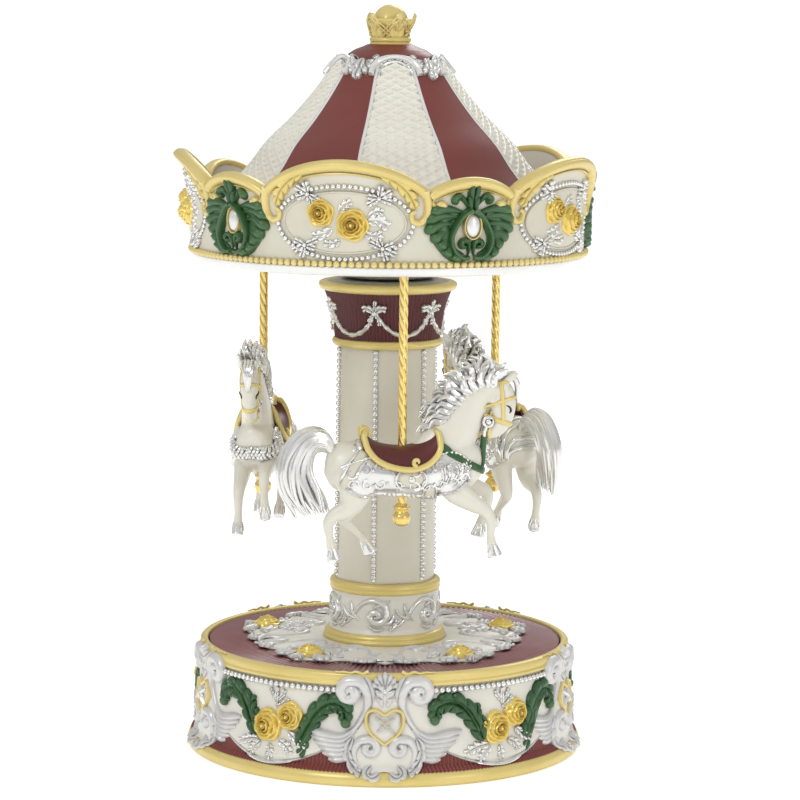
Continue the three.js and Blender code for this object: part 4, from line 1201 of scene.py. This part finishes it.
def crown():
    """The fluted gold basket with its leaves and ball."""
    basket, tips = Shape(), Shape()
    base = CROWN_TOP - 17
    profile = [(3.2, -4), (6.6, 0.1), (7.9, 0.5), (8.1, 1.6), (7.3, 2.4), (7.9, 3.1), (7.7, 4), (6.9, 4.6),
               (7.2, 6.6), (8.2, 9.4), (8.9, 11), (8.2, 11.4), (5.4, 10.6), (0.02, 10.4), (0.02, -4)]
    lathe(basket, rounded(lifted(profile, base), 0.45), 120,
          lambda r, degrees, z: np.where((r > 6.4) & (z > base + 4.8),
                                         0.35 * np.cos(np.radians(degrees) * 10), 0))
    turn = np.linspace(0.02, 1.9, 18)
    ball = np.stack([6.6 * np.sin(turn), CROWN_TOP - 7.1 + 6.6 * np.cos(turn)], -1)
    lathe(basket, np.concatenate([ball, [(0.02, ball[-1, 1])]]), 80,
          lambda r, degrees, z: -0.1 * np.abs(np.cos(np.radians(degrees) * 5)) * np.clip(r / 4, 0, 1))

    def wall_radius(z):
        return np.interp(z, [base + 4, base + 7, base + 11, base + 13.4], [6.9, 7.4, 8.7, 9.0])

    for k in range(FOLD):
        place = wall(SMALL_MIDDLE + SECTOR * k, 0, wall_radius)
        fan(tips, place, (0, base + 6.6), (-34, 0, 34), (4.6, 6.8, 4.6), 3.2, 1.0)
        place = wall(LARGE_MIDDLE + SECTOR * k, 0, wall_radius)
        for side in both_sides(place):
            for run in (0, 1.5):
                band = smooth_curve([(-1.4, base + 4.8 + run), (1.6, base + 7.6 + run),
                                     (4.8, base + 10.6 + run)], 14)
                strand(tips, side, band, 0.9, 0.9, shares=even)
    piece("crown_basket", basket, "carousel", PALE_GOLD, ["crown_finial"])
    piece("crown_leaves", tips, "carousel", PALE_GOLD)


def canopy_inside():
    """The canopy's floor and hub."""
    floor, hub = Shape(), Shape()
    lathe(floor, rounded([(70.3, 186.5), (70.3, 189), (3.4, 189), (3.4, 186.5)], 0.4), 200)
    piece("canopy_floor_disc", floor, "carousel", WHITE, ["canopy_floor"])
    lathe(hub, rounded([(17.2, HUB_BOTTOM), (18, HUB_BOTTOM + 1), (18, 186.4), (3.4, 186.4),
                        (3.4, HUB_BOTTOM)], 0.6), 120)
    piece("canopy_hub_boss", hub, "carousel", GREY, ["canopy_hub"])


# ---------- poles ----------
POLE_ANGLES = [FIRST_POLE + 120 * k for k in range(3)]
ROPE_STRANDS = 4
ROPE_PITCH = 8.5  # mm
TIP_OUTLINE = [(0.02, 91.9), (1.2, 92), (2.6, 92.9), (3.3, 94.6), (3.2, 96), (2.3, 97.2), (2.1, 97.8),
               (2.7, 98.2), (3.3, 98.8), (3.1, 99.4), (2.2, 99.8), (1.7, 100.6), (0.02, 100.6)]


def centred(degrees):
    """Turns and moves a piece that was made at the axis to its place on the pole circle."""
    x, y, _ = around(POLE_CIRCLE * MM, degrees, 0)
    return Matrix.Translation((x, y, 0)) @ Matrix.Rotation(math.radians(degrees), 4, "Z")


def poles():
    """Three twisted poles, each with a turned tip under its horse."""
    rope, tip = Shape(), Shape()
    z = np.linspace(POLE_BOTTOM, POLE_TOP, 420)
    degrees = full_turn(48, 360)
    twist = np.radians(degrees)[None, :] * ROPE_STRANDS + TAU * z[:, None] / ROPE_PITCH * ROPE_STRANDS / 2
    radius = POLE_R - 0.3 + 0.3 * np.abs(np.cos(twist / 2)) ** 0.6
    rope.grid(around(radius, degrees[None, :], z[:, None]), wrap_columns=True, cap=True)
    lathe(tip, rounded(TIP_OUTLINE, 0.35), 64)
    rope_mesh = mesh_of("twisted_pole", rope, GILT, 75)
    tip_mesh = mesh_of("turned_tip", tip, GILT)
    for k, angle in enumerate(POLE_ANGLES, 1):
        matrix = centred(angle)
        placed(f"twisted_pole_{k}", rope_mesh, "carousel", [f"pole_{k}"], matrix)
        placed(f"turned_tip_{k}", tip_mesh, "carousel", [f"pole_tip_{k}"], matrix)


valance()
valance_scrolls()
medallions()
green_cartouches()
roof()
roof_top()
crown()
canopy_inside()
poles()


# ---------- horses: x forward, y to the horse's left, z height above the table ----------
HORSE_TURN = [0, -11, 18]  # degrees each horse is fixed round its pole, off the line of travel
SKIN_VOXEL = 0.42
TRUNK = [(-27.8, 0, 115.4, 4.2, 3.8), (-24.4, 0, 114.9, 8.2, 7.2), (-17.6, 0, 113.6, 9.8, 8.9),
         (-8, 0, 112, 8.3, 8.6), (3, 0, 111.6, 8.1, 8.4), (12, 0, 112.4, 9.4, 8.4), (20, 0, 114.4, 10.4, 7.8),
         (26, 0, 115.4, 7.8, 6.2), (28.8, 0, 115.2, 3.8, 3.4)]
NECK = [(12, 0, 116, 10.5, 6.8), (17.6, 0, 124.5, 9.4, 5.8), (22.2, 0, 132.5, 7.8, 4.8),
        (26.4, 0, 139.2, 6.2, 4.0), (30.6, 0, 143.2, 4.9, 3.5), (34, 0, 144, 3.9, 3.1)]
HEAD = [(32.2, 0, 143.8, 3.8, 3.0), (35.4, 0, 141.4, 4.9, 3.5), (36.6, 0, 137, 4.9, 3.4),
        (36.5, 0, 132.6, 4.3, 2.9), (35.2, 0, 129, 3.6, 2.4), (33, 0, 127.1, 3, 2.2),
        (31, 0, 126.7, 2.6, 2.1), (29.6, 0, 127, 1.5, 1.5)]
NEAR, FAR = -4.9, 4.9
LEGS = [
    [(-18, NEAR, 112, 7.6, 4.2), (-17.4, NEAR, 105.6, 6.2, 3.8), (-19.8, NEAR, 99.8, 4.1, 3.1),
     (-25, NEAR, 97.0, 2.7, 2.3), (-27.2, NEAR, 93.8, 2.1, 1.9), (-26.6, NEAR, 88.6, 1.5, 1.5),
     (-26, NEAR, 85.2, 1.9, 1.8), (-25.6, NEAR, 83.4, 1.6, 1.6)],
    [(-16, FAR, 112, 7.6, 4.2), (-15.8, FAR, 105, 6, 3.8), (-19.2, FAR, 98, 3.6, 2.9),
     (-20.6, FAR, 94, 2.6, 2.3), (-17.6, FAR, 90.8, 1.9, 1.8), (-14.6, FAR, 88, 1.5, 1.5),
     (-12.8, FAR, 85.4, 1.9, 1.8), (-12, FAR, 84, 1.6, 1.6)],
    [(17, NEAR + 0.6, 112, 6.4, 3.8), (19, NEAR, 106.2, 5.1, 3.6), (24.6, NEAR, 101.8, 3.7, 2.9),
     (30, NEAR, 98.4, 2.6, 2.3), (32.2, NEAR, 94.4, 2.0, 1.9), (32.2, NEAR, 89.6, 1.5, 1.5),
     (32.6, NEAR, 86, 1.9, 1.8), (33.1, NEAR, 84.2, 1.6, 1.6)],
    [(18, FAR - 0.6, 112, 6.2, 3.8), (21, FAR, 107.8, 4.9, 3.4), (27.4, FAR, 105.6, 3.3, 2.7),
     (31.6, FAR, 103.8, 2.5, 2.2), (32.4, FAR, 100.4, 2.0, 1.9), (31, FAR, 95.6, 1.5, 1.5),
     (29.9, FAR, 92, 1.9, 1.8), (29.4, FAR, 90, 1.6, 1.6)]]
# Roots of the mane: x, z and the lean of the hair in degrees up from straight ahead.
MANE = [(33.4, 147, 82), (28.4, 147.2, 104), (22.4, 144, 126), (18.2, 139.8, 146), (15.8, 136, 160),
        (13.4, 132.4, 172), (11.8, 129.4, 186)]
TAIL_OUTER = [(-24, 118), (-29.6, 126.6), (-37.6, 126), (-44.4, 117), (-45, 106), (-39.4, 96.4)]
TAIL_SWING = 5.5  # how far the tail is blown to the horse's right
TAIL_INNER = [(-24, 117), (-27.6, 121), (-32.4, 120), (-34.4, 112.4), (-30.6, 104.6), (-27.4, 98)]
SEAT_LINE = [(-13.6, 127.8), (-11.8, 124.8), (-7, 122.8), (0, 122.2), (5, 123.2), (9.2, 125.6), (11.6, 127.8)]
FLAP_LINE = [(-14.6, 125.6), (-13, 121), (-9.4, 117.2), (-4, 115), (1.6, 114.2), (6.4, 115), (10.4, 117.4),
             (13, 121.4), (12.8, 126.4)]


def skinned(name, shape, material, voxel, rounds):
    """One smooth closed skin round the overlapping bodies of a shape."""
    parts = bpy.data.objects.new(name, mesh_of(name, shape, material))
    bpy.context.scene.collection.objects.link(parts)
    remesh = parts.modifiers.new("skin", "REMESH")
    remesh.mode = "VOXEL"
    remesh.voxel_size = voxel * MM
    soft = parts.modifiers.new("soft", "SMOOTH")
    soft.factor = 0.5
    soft.iterations = rounds
    bpy.context.view_layer.update()
    mesh = bpy.data.meshes.new_from_object(parts.evaluated_get(bpy.context.evaluated_depsgraph_get()))
    bpy.data.objects.remove(parts)
    mesh.polygons.foreach_set("use_smooth", [True] * len(mesh.polygons))
    mesh.name = name
    return mesh


def horse_body():
    """Trunk, neck, head, legs and ears under one skin."""
    body = Shape()
    limb(body, TRUNK, 40, 36)
    limb(body, NECK, 30, 32)
    limb(body, HEAD, 30, 28, 0.9)
    for stations in LEGS:
        limb(body, stations, 44, 24)
    for side in (-1, 1):
        limb(body, [(36.6, side * 1.9, 144.6, 1.3, 1.3), (39.4, side * 2.7, 147, 1.5, 1.0),
                    (42, side * 2.7, 148.4, 0.5, 0.4)], 14, 14)
        for x, y, z, radius in ((33.6, 1.7, 138.4, 2.5), (38.4, 2.5, 136.2, 1.2), (-20, 3.6, 112, 6.6),
                                (19, 3.6, 113, 5.8), (30.8, 1.5, 127.6, 1.1), (24, 2.8, 113, 5.2)):
            bead(body, (x, side * y, z), radius)
    return skinned("horse_skin", body, HORSE_WHITE, SKIN_VOXEL, 9)


def mirrored(half):
    """A path across the horse from its right side to its left, from the points of the right half."""
    return half + [(x, -y, z) for x, y, z in half[-2::-1]]


CLEAR = 30  # mm sideways from the horse's middle plane, well outside its skin
CORE = 3  # mm sideways from the horse's middle plane, inside its skin


class Hide:
    """The horse's surface, for laying harness and ornament on it."""

    def __init__(self, mesh):
        points = [v.co / MM for v in mesh.vertices]
        self.tree = BVHTree.FromPolygons(points, [tuple(p.vertices) for p in mesh.polygons])

    def side(self, sign):
        """Maps (u, v, n) to the flank: u forward, v height, n outwards."""
        def place(u, v, n):
            u, v, n = np.broadcast_arrays(np.asarray(u, float), np.asarray(v, float), np.asarray(n, float))
            out = np.zeros(u.shape + (3,))
            for i in np.ndindex(u.shape):
                hit, normal, _, _ = self.tree.ray_cast(Vector((u[i], sign * CLEAR, v[i])),
                                                       Vector((0, -sign, 0)))
                if hit is None:
                    hit, normal, _, _ = self.tree.find_nearest(Vector((u[i], sign * CORE, v[i])))
                out[i] = hit + normal * float(n[i])
            return out
        return place

    def strap(self, shape, points, width, height, lift=0.1, steps=40):
        """A flat strap pulled onto the surface along a path of points near it."""
        path, out = [], []
        for point in smooth_curve(points, steps):
            hit, normal, _, _ = self.tree.find_nearest(Vector(point))
            path.append(hit + normal * lift)
            out.append(normal)
        sweep(shape, path, out, oval_section(width, height, 12, 0.7))

    def leaves(self, shape, points, count, length):
        """Small leaves in pairs on both sides of a path, with a bead at each pair."""
        line = smooth_curve(points, count + 1)
        for before, after in zip(line, line[1:]):
            hit, normal, _, _ = self.tree.find_nearest(Vector((before + after) / 2))
            along = Vector(after - before).normalized()
            across = normal.cross(along).normalized()
            bead(shape, hit + normal * 1.0, 0.85)
            for side in (-1, 1):
                reach = (across * side + along * 0.5).normalized() * length
                tip, out, _, _ = self.tree.find_nearest(hit + reach)
                middle, lift, _, _ = self.tree.find_nearest(hit + reach * 0.5)
                path = smooth_curve([hit + normal * 0.5, middle + lift * 0.9, tip + out * 0.3], 6)
                sweep(shape, path, [normal] * len(path), oval_section(1.3, 1.0, 8, 0.7))

    def girth(self, shape, centre, axis, width, height, lift=0.1, steps=48):
        """A strap right round a limb, square to an axis."""
        axis = Vector(axis).normalized()
        side = Vector((0, 1, 0))
        up = axis.cross(side).normalized()
        path, out = [], []
        for k in range(steps):
            a = TAU * k / steps
            ray = side * math.cos(a) + up * math.sin(a)
            hit, normal, _, _ = self.tree.ray_cast(Vector(centre) + ray * 9, -ray)
            path.append(hit + normal * lift)
            out.append(normal)
        sweep(shape, path, out, oval_section(width, height, 12, 0.7), closed=True)


def lock(shape, path, width, twist):
    """A lock of hair: three strands that wind round each other and end in a point."""
    t = np.linspace(0, 1, len(path))
    for k in range(3):
        a = TAU * k / 3 + twist * t
        offset = 0.36 * width * (1 - t) ** 0.6
        centre = path + np.stack([0.6 * np.cos(a), np.cos(a + 1.3), np.sin(a)], -1) * offset[:, None]
        tube(shape, centre, width * 0.42 * np.sin(np.pi * (0.22 + 0.76 * t)) ** 0.8 + 0.05, 7)


def hair():
    """Mane, tail and forelock."""
    shape = Shape()
    random.seed(21)
    rows = 11
    for layer, side in enumerate((-3.6, -2.2, -0.8, 0.8, 2.2, 3.6)):
        for k in range(rows):
            at = (k + 0.5 * (layer % 2)) / rows * (len(MANE) - 1)
            x, z, lean = (np.interp(at, range(len(MANE)), values) for values in zip(*MANE))
            lean = math.radians(lean + random.uniform(-8, 8))
            length = random.uniform(8.4, 11.6) * (0.8 if abs(side) > 3 else 1)
            sink = 3.2 if abs(side) > 3 else 1.8
            t = np.linspace(0, 1, 22)
            run = length * t - sink
            sway = random.uniform(1.0, 1.7) * np.sin(TAU * (t * 0.9 + random.random() * 0.15)) * t
            curl = random.choice((-1, 1, 1)) * 3.2 * t**3
            ahead, aside = run - 0.4 * np.abs(curl), sway + curl
            path = np.stack([x + ahead * math.cos(lean) - aside * math.sin(lean), side * (1 + 0.25 * t),
                             z + ahead * math.sin(lean) + aside * math.cos(lean)], -1)
            lock(shape, path, random.uniform(2.0, 2.7), random.uniform(1.5, 3))
    outer, inner = smooth_curve(TAIL_OUTER, 26), smooth_curve(TAIL_INNER, 26)
    for k in range(26):
        share = (k % 13) / 12
        side = (-1 if k < 13 else 1) * (0.6 + 2.2 * math.sin(math.pi * share) + random.uniform(-0.4, 0.4))
        t = np.linspace(0, 1, 27)
        wave = random.uniform(0.6, 1.3) * np.sin(TAU * (1.2 * t + random.random())) * t
        flat = outer * share + inner * (1 - share)
        swing = -TAIL_SWING * t**1.4
        path = np.stack([flat[:, 0] + wave, side * np.sin(np.pi * (0.12 + 0.8 * t)) + swing,
                         flat[:, 1] + 0.6 * wave], -1)
        lock(shape, path, random.uniform(2.3, 2.9), random.uniform(2, 3.4))
    for side in (-1.6, 0, 1.6):
        lock(shape, smooth_curve([(34.8, side, 146.4), (38.8, side * 0.8, 147.6), (41.8, side * 0.6, 144.2),
                                  (41.8, side * 0.3, 139.4), (42.2, side * 0.3, 137)], 18), 1.8, 2)
    return shape


def hooves():
    """Hooves with tufts of hair over them."""
    shape = Shape()
    for stations in LEGS:
        end, before = np.array(stations[-1][:3]), np.array(stations[-2][:3])
        way = (end - before) / np.linalg.norm(end - before)
        rows = [(*(end + way * run), deep, wide) for run, deep, wide in
                ((-1.0, 1.7, 1.7), (0, 2.0, 1.9), (1.2, 2.3, 2.1), (2.5, 2.7, 2.3), (2.9, 2.6, 2.2))]
        limb(shape, rows, 14, 20)
        for k in range(7):
            a = TAU * k / 7
            tuft = [end - way * 1.8 + np.array([1.5 * math.cos(a), 1.5 * math.sin(a), 0]),
                    end + np.array([2.1 * math.cos(a), 2.0 * math.sin(a), 0]),
                    end + way * 1.6 + np.array([2.7 * math.cos(a), 2.3 * math.sin(a), 0])]
            tube(shape, smooth_curve(tuft, 8), 0.5 * np.linspace(1, 0.3, 9), 6)
    return shape


def saddle_rows(shrink):
    """Points of the saddle over t from cantle to pommel and s from flap to flap."""
    steps, across = 48, 41
    seat, flap = smooth_curve(SEAT_LINE, steps), smooth_curve(FLAP_LINE, steps)
    t = np.linspace(0, 1, steps + 1)[:, None]
    a = np.linspace(-1, 1, across)[None, :] * math.pi / 2
    drop = 1 - np.cos(a)
    x = seat[:, :1] + (flap[:, :1] - seat[:, :1]) * drop
    z = seat[:, 1:] + (flap[:, 1:] - seat[:, 1:]) * drop - shrink
    wide = (5.4 + 4.6 * np.sin(np.pi * t) ** 0.7 - shrink) * np.sin(a)
    dish = 0.4 * np.sin(np.pi * t) * np.exp(-((a / 0.5) ** 2))
    return np.stack([x + 0 * a, wide, z - dish], -1)


def saddle():
    """The seat and its gold trim."""
    seat, trim = Shape(), Shape()
    top, under = saddle_rows(0), saddle_rows(1.3)
    seat.grid(np.concatenate([top, under[:, ::-1]], axis=1), wrap_columns=True, cap=True)
    edge = np.concatenate([top[:, 0], top[-1, 1:-1], top[::-1, -1], top[0, ::-1][1:-1]])
    tube(trim, edge, 1.15, 12, closed=True)
    for side in (-1, 1):
        eye = spiral((4.4, 117), 0.4, 1.7, -60, 330, 26)
        curl = np.stack([eye[:, 0], np.full(len(eye), side * 9.9), eye[:, 1]], -1)
        tube(trim, curl, np.linspace(0.5, 0.95, len(eye)), 10)
        eye = spiral((-14.4, 126.8), 0.5, 2.1, 20, -420, 24)
        curl = np.stack([eye[:, 0], np.full(len(eye), side * 2.6), eye[:, 1]], -1)
        tube(trim, curl, np.linspace(0.6, 1.0, len(eye)), 10)
    return seat, trim


def blanket(hide):
    """Silver lace under the saddle, with a pale medallion and a hanging tab on each side."""
    lace, pale = Shape(), Shape()
    lower = smooth_curve([(-21, 107.6), (-15.4, 104.4), (-9, 105.4), (-3, 104.8), (3, 104.2), (9, 104),
                          (14, 105), (19, 106.4), (23.6, 110.4)], 60)
    upper = smooth_curve([(-22.6, 115), (-15.4, 117.6), (-8, 118.4), (0, 117), (8, 117.6), (14, 119.6),
                          (19.6, 119.4), (24, 116.4)], 60)
    for sign in (-1, 1):
        place = hide.side(sign)
        share = np.linspace(0, 1, 14)[None, :]
        u = lower[:, :1] * (1 - share) + upper[:, :1] * share
        v = lower[:, 1:] * (1 - share) + upper[:, 1:] * share
        lace.grid(place(u, v, 0.45 + 0 * u))
        strand(lace, place, lower, 1.3, 1.2, shares=lambda t: 1 + 0.35 * np.cos(t * 170))
        strand(lace, place, upper, 1.1, 1.2, shares=lambda t: 1 + 0.3 * np.cos(t * 150))
        for k in range(9):
            at = (k + 0.5) / 9 * 60
            low_point, high_point = lower[int(at)], upper[int(at)]
            for share_up, turn in ((0.3, 1), (0.7, -1)):
                centre = low_point * (1 - share_up) + high_point * share_up
                strand(lace, place, spiral(centre, 2.3, 0.4, 90 * k, turn * 470, 20), 1.0, 1.4, 6,
                       shares=lambda t: 1 - 0.5 * t)
                bead(lace, place(centre[0] + 2.3, centre[1], 0.7), 0.6)
        for path in ([(-12, 119), (-15.6, 115.4), (-18.6, 110.4), (-20, 106.2)],
                     [(-16.4, 120.4), (-19.6, 117), (-22.4, 112), (-23.4, 108.4)]):
            strand(lace, place, smooth_curve(path, 20), 1.2, 1.4)
        strap = smooth_curve([(-14.4, 119.6), (-17.6, 116.2), (-20.4, 111.4), (-21.6, 107.4)], 20)
        strand(pale, place, strap, 4.2, 0.9, shares=even)
        boss(pale, place, oval(2.4, 110.6, 5, 3.2, 40), 1.1)
        looped(lace, place, oval(2.4, 110.6, 5.6, 3.8, 48), 1.3, 1.7)
        boss(lace, place, oval(2.6, 110.6, 1.5, 1.5, 20), 2.0)
        tab = [(7.4, 100.6), (7.6, 105), (8.4, 107.8), (11, 107.8), (11.6, 105), (11.4, 100.6)]
        boss(pale, place, smooth_curve(tab, 30, closed=True), 0.9)
        hem = [(7.2, 100.4), (7.2, 105), (8.2, 108.2), (11.2, 108.2), (12, 105), (11.8, 100.4)]
        looped(lace, place, smooth_curve(hem, 36, closed=True), 0.9, 1.3)
        for k in range(4):
            path = [(13 + 2.6 * k, 107.6 + k), (14.6 + 2.6 * k, 111 + k), (13.8 + 2.6 * k, 115 + 0.5 * k)]
            leaf(lace, place, smooth_curve(path, 14), 2.8, 1.5, lobes=3, across=8)
    roll = Shape()
    for k, x in enumerate((-15.6, -17.8)):
        limb(roll, [(x, -5.6, 120.4 - k, 1.2, 1.2), (x, -4, 121.6 - k, 1.9, 1.8), (x, 0, 122.2 - k, 2.1, 2),
                    (x, 4, 121.6 - k, 1.9, 1.8), (x, 5.6, 120.4 - k, 1.2, 1.2)], 20, 18)
    lace.add(roll.array(), roll.faces)
    return lace, pale


def garland(hide):
    """Silver leaves and beads across the breast."""
    leaves = Shape()
    path = mirrored([(14, -9, 119), (19, -9, 115.6), (23.4, -8.2, 113.4), (27.2, -6, 112),
                     (29.4, -3.2, 111.4), (30, 0, 111.2)])
    hide.strap(leaves, path, 1.8, 1.1, 0.3, 70)
    hide.leaves(leaves, path, 22, 2.9)
    return leaves


def croup_drape(hide):
    """Silver folds that hang over the croup behind the saddle."""
    folds = Shape()
    for x, z, drop in ((-20.2, 120.6, 9.5), (-22.6, 119, 12), (-25, 116.6, 10), (-27, 113.6, 7)):
        half = [(x - 0.8, -9, z - drop), (x - 0.5, -7.8, z - drop * 0.55), (x, -5, z - drop * 0.18),
                (x, 0, z)]
        hide.strap(folds, mirrored(half), 1.6, 1.3, 0.15, 44)
    return folds


def harness(hide):
    """Breast strap and reins, bridle, bits, and the eyes' lashes."""
    straps, bridle, bits, lashes = (Shape() for _ in range(4))
    path = mirrored([(13, -9, 123), (18, -9, 119.8), (23, -8.4, 116.6), (27.2, -6, 113.8),
                     (29.4, -3.2, 112.8), (30, 0, 112.6)])
    hide.strap(straps, path, 2.7, 1.4, 0.35, 70)
    hide.girth(bridle, (37, 0, 130.2), (0.35, 0, 1), 1.8, 0.9)
    hide.girth(bridle, (31.6, 0, 126.7), (1, 0, -0.1), 1.4, 0.9)
    for side in (-1, 1):
        rein = [(28.8, side * 3, 113.6), (29.4, side * 2.8, 117), (29.6, side * 2.6, 121),
                (30, side * 2.5, 125)]
        tube(straps, smooth_curve(rein, 20), 0.85, 8)
        hide.strap(bridle, [(35.4, side * 4, 145.4), (36, side * 4, 141), (36.3, side * 4, 135.6),
                            (36.6, side * 4, 130.8)],
                   1.4, 0.9)
        hide.strap(bridle, [(29.8, side * 3, 135.4), (33, side * 4, 136.8), (36, side * 4, 138.2),
                            (39, side * 3.4, 139), (41, side * 1.4, 139.4), (41.4, 0, 139.4)], 1.2, 0.8)
        hide.strap(bridle, [(33.2, side * 3.4, 144.6), (35.4, side * 4, 145.2), (38, side * 3, 145)], 1.1,
                   0.8)
        ring = [(31 + 1.7 * math.cos(a), side * 3.0, 130.6 + 1.7 * math.sin(a))
                for a in np.linspace(0, TAU, 24)[:-1]]
        tube(bits, ring, 0.6, 8, closed=True)
        bead(bits, (31.2, side * 2.6, 130.6), 1.3)
        tube(bits, smooth_curve([(30.6, side * 2.9, 129.2), (29.8, side * 2.7, 127),
                                 (29.8, side * 2.4, 125.2)], 10), 0.6, 8)
        place = hide.side(side)
        strand(lashes, place, smooth_curve([(37.6, 136.7), (38.8, 135.9), (39.3, 134.6), (38.7, 133.6)], 12),
               0.8, 0.45)
        bead(lashes, (32.2, side * 3.4, 131.2), 0.5)
        bead(lashes, place(30.4, 127.9, 0.1), 0.4)
    return straps, bridle, bits, lashes


# The three horses wear the same tack apart from these pieces.
WEARERS = {"breast_straps": (1, 2), "breast_garland": (3,), "croup_drape": (2,)}


def horses():
    """The parts of one horse, set at each pole."""
    skin = horse_body()
    hide = Hide(skin)
    seat, trim = saddle()
    lace, pale = blanket(hide)
    straps, bridle, bits, lashes = harness(hide)
    parts = [("horse_skin", skin, "white_resin")]
    for name, shape, material, slot in (
            ("horse_hair", hair(), SILVER, "silver_paint"),
            ("horse_hooves", hooves(), SILVER, "silver_paint"),
            ("saddle_seat", seat, DARK_MAROON, "maroon_resin"),
            ("saddle_trim", trim, PALE_GOLD, "gold_paint"), ("blanket_lace", lace, SILVER, "silver_paint"),
            ("blanket_pale", pale, CREAM, "cream_resin"), ("breast_straps", straps, GREEN, "green_paint"),
            ("bridle", bridle, PALE_GOLD, "gold_paint"), ("bridle_bits", bits, SILVER, "silver_paint"),
            ("horse_lashes", lashes, BLACK, "black_paint"),
            ("breast_garland", garland(hide), SILVER, "silver_paint"),
            ("croup_drape", croup_drape(hide), SILVER, "silver_paint")):
        parts.append((name, mesh_of(name, shape, material), slot))
    for k, angle in enumerate(POLE_ANGLES, 1):
        for name, mesh, slot in parts:
            if k not in WEARERS.get(name, (k,)):
                continue
            replaced = [f"horse_{k}"] if name == "horse_skin" else []
            matrix = centred(angle) @ Matrix.Rotation(math.radians(HORSE_TURN[k - 1]), 4, "Z")
            placed(f"{name}_{k}", mesh, "carousel", replaced, matrix)


horses()


# ---------- floor, light and camera ----------
EYE = (-7.1, -1176.8, 282.7)
LOOK_AT = (5, 0, 131.7)
ROLL = 0.6
LENS = 140.8


def stage_floor():
    """A wide pale floor that glows a little, so that it runs into the white behind."""
    material = bpy.data.materials.new("studio_floor")
    material.use_nodes = True
    shader = material.node_tree.nodes["Principled BSDF"]
    for socket, value in (("Base Color", (0.94, 0.94, 0.94, 1)), ("Roughness", 0.8),
                          ("Emission Color", (1, 1, 1, 1)), ("Emission Strength", 0.44)):
        shader.inputs[socket].default_value = value
    mesh = bpy.data.meshes.new("studio_floor")
    half = 6  # metres
    corners = [(-half, -half, 0), (half, -half, 0), (half, half, 0), (-half, half, 0)]
    mesh.from_pydata(corners, [], [(0, 1, 2, 3)])
    mesh.materials.append(material)
    floor = bpy.data.objects.new("studio_floor", mesh)
    bpy.context.scene.collection.objects.link(floor)


def soft_light(name, place, aim, size, watts):
    """A round area light, turned to a point."""
    light = bpy.data.lights.new(name, "AREA")
    light.shape = "DISK"
    light.size = size
    light.energy = watts
    lamp = bpy.data.objects.new(name, light)
    lamp.location = place
    lamp.rotation_euler = (Vector(aim) - Vector(place)).to_track_quat("-Z", "Y").to_euler()
    bpy.context.scene.collection.objects.link(lamp)


def sky():
    """White to the camera; to the object it is bright above and dimmer at the sides, as in a light tent."""
    world = bpy.data.worlds.new("studio")
    world.use_nodes = True
    tree = world.node_tree
    where = add_node(tree, "TexCoord").outputs["Generated"]
    height = add_node(tree, "SeparateXYZ", Vector=where).outputs["Z"]
    tent = add_node(tree, "MapRange", {"interpolation_type": "SMOOTHSTEP"}, Value=height,
                    From_Min=-0.15, From_Max=0.75, To_Min=0.3, To_Max=0.7).outputs["Result"]
    seen = add_node(tree, "LightPath").outputs["Is Camera Ray"]
    back = tree.nodes["Background"]
    back.inputs["Color"].default_value = (1, 1, 1, 1)
    tree.links.new(add_node(tree, "Mix", Factor=seen, A=tent, B=1.2).outputs["Result"],
                   back.inputs["Strength"])
    bpy.context.scene.world = world


def studio():
    """The sky, three lights and the camera."""
    sky()
    soft_light("key", (-0.7, -1.0, 1.0), (0, 0, 0.14), 0.45, 3.9)
    soft_light("fill", (0.9, -0.9, 0.4), (0, 0, 0.14), 0.5, 1.7)
    soft_light("back", (0.3, 1.0, 0.9), (0, 0, 0.16), 0.6, 3.4)
    bpy.context.scene.view_settings.view_transform = "Standard"
    camera = bpy.data.cameras.new("camera")
    camera.lens = LENS
    camera.sensor_width = 36
    camera.clip_end = 20
    eye = bpy.data.objects.new("camera", camera)
    eye.location = Vector(EYE) * MM
    aim = (Vector(LOOK_AT) * MM - eye.location).to_track_quat("-Z", "Y").to_matrix()
    eye.rotation_euler = (aim @ Matrix.Rotation(math.radians(ROLL), 3, "Z")).to_euler()
    bpy.context.scene.collection.objects.link(eye)
    bpy.context.scene.camera = eye


stage_floor()
studio()

bpy.context.view_layer.update()
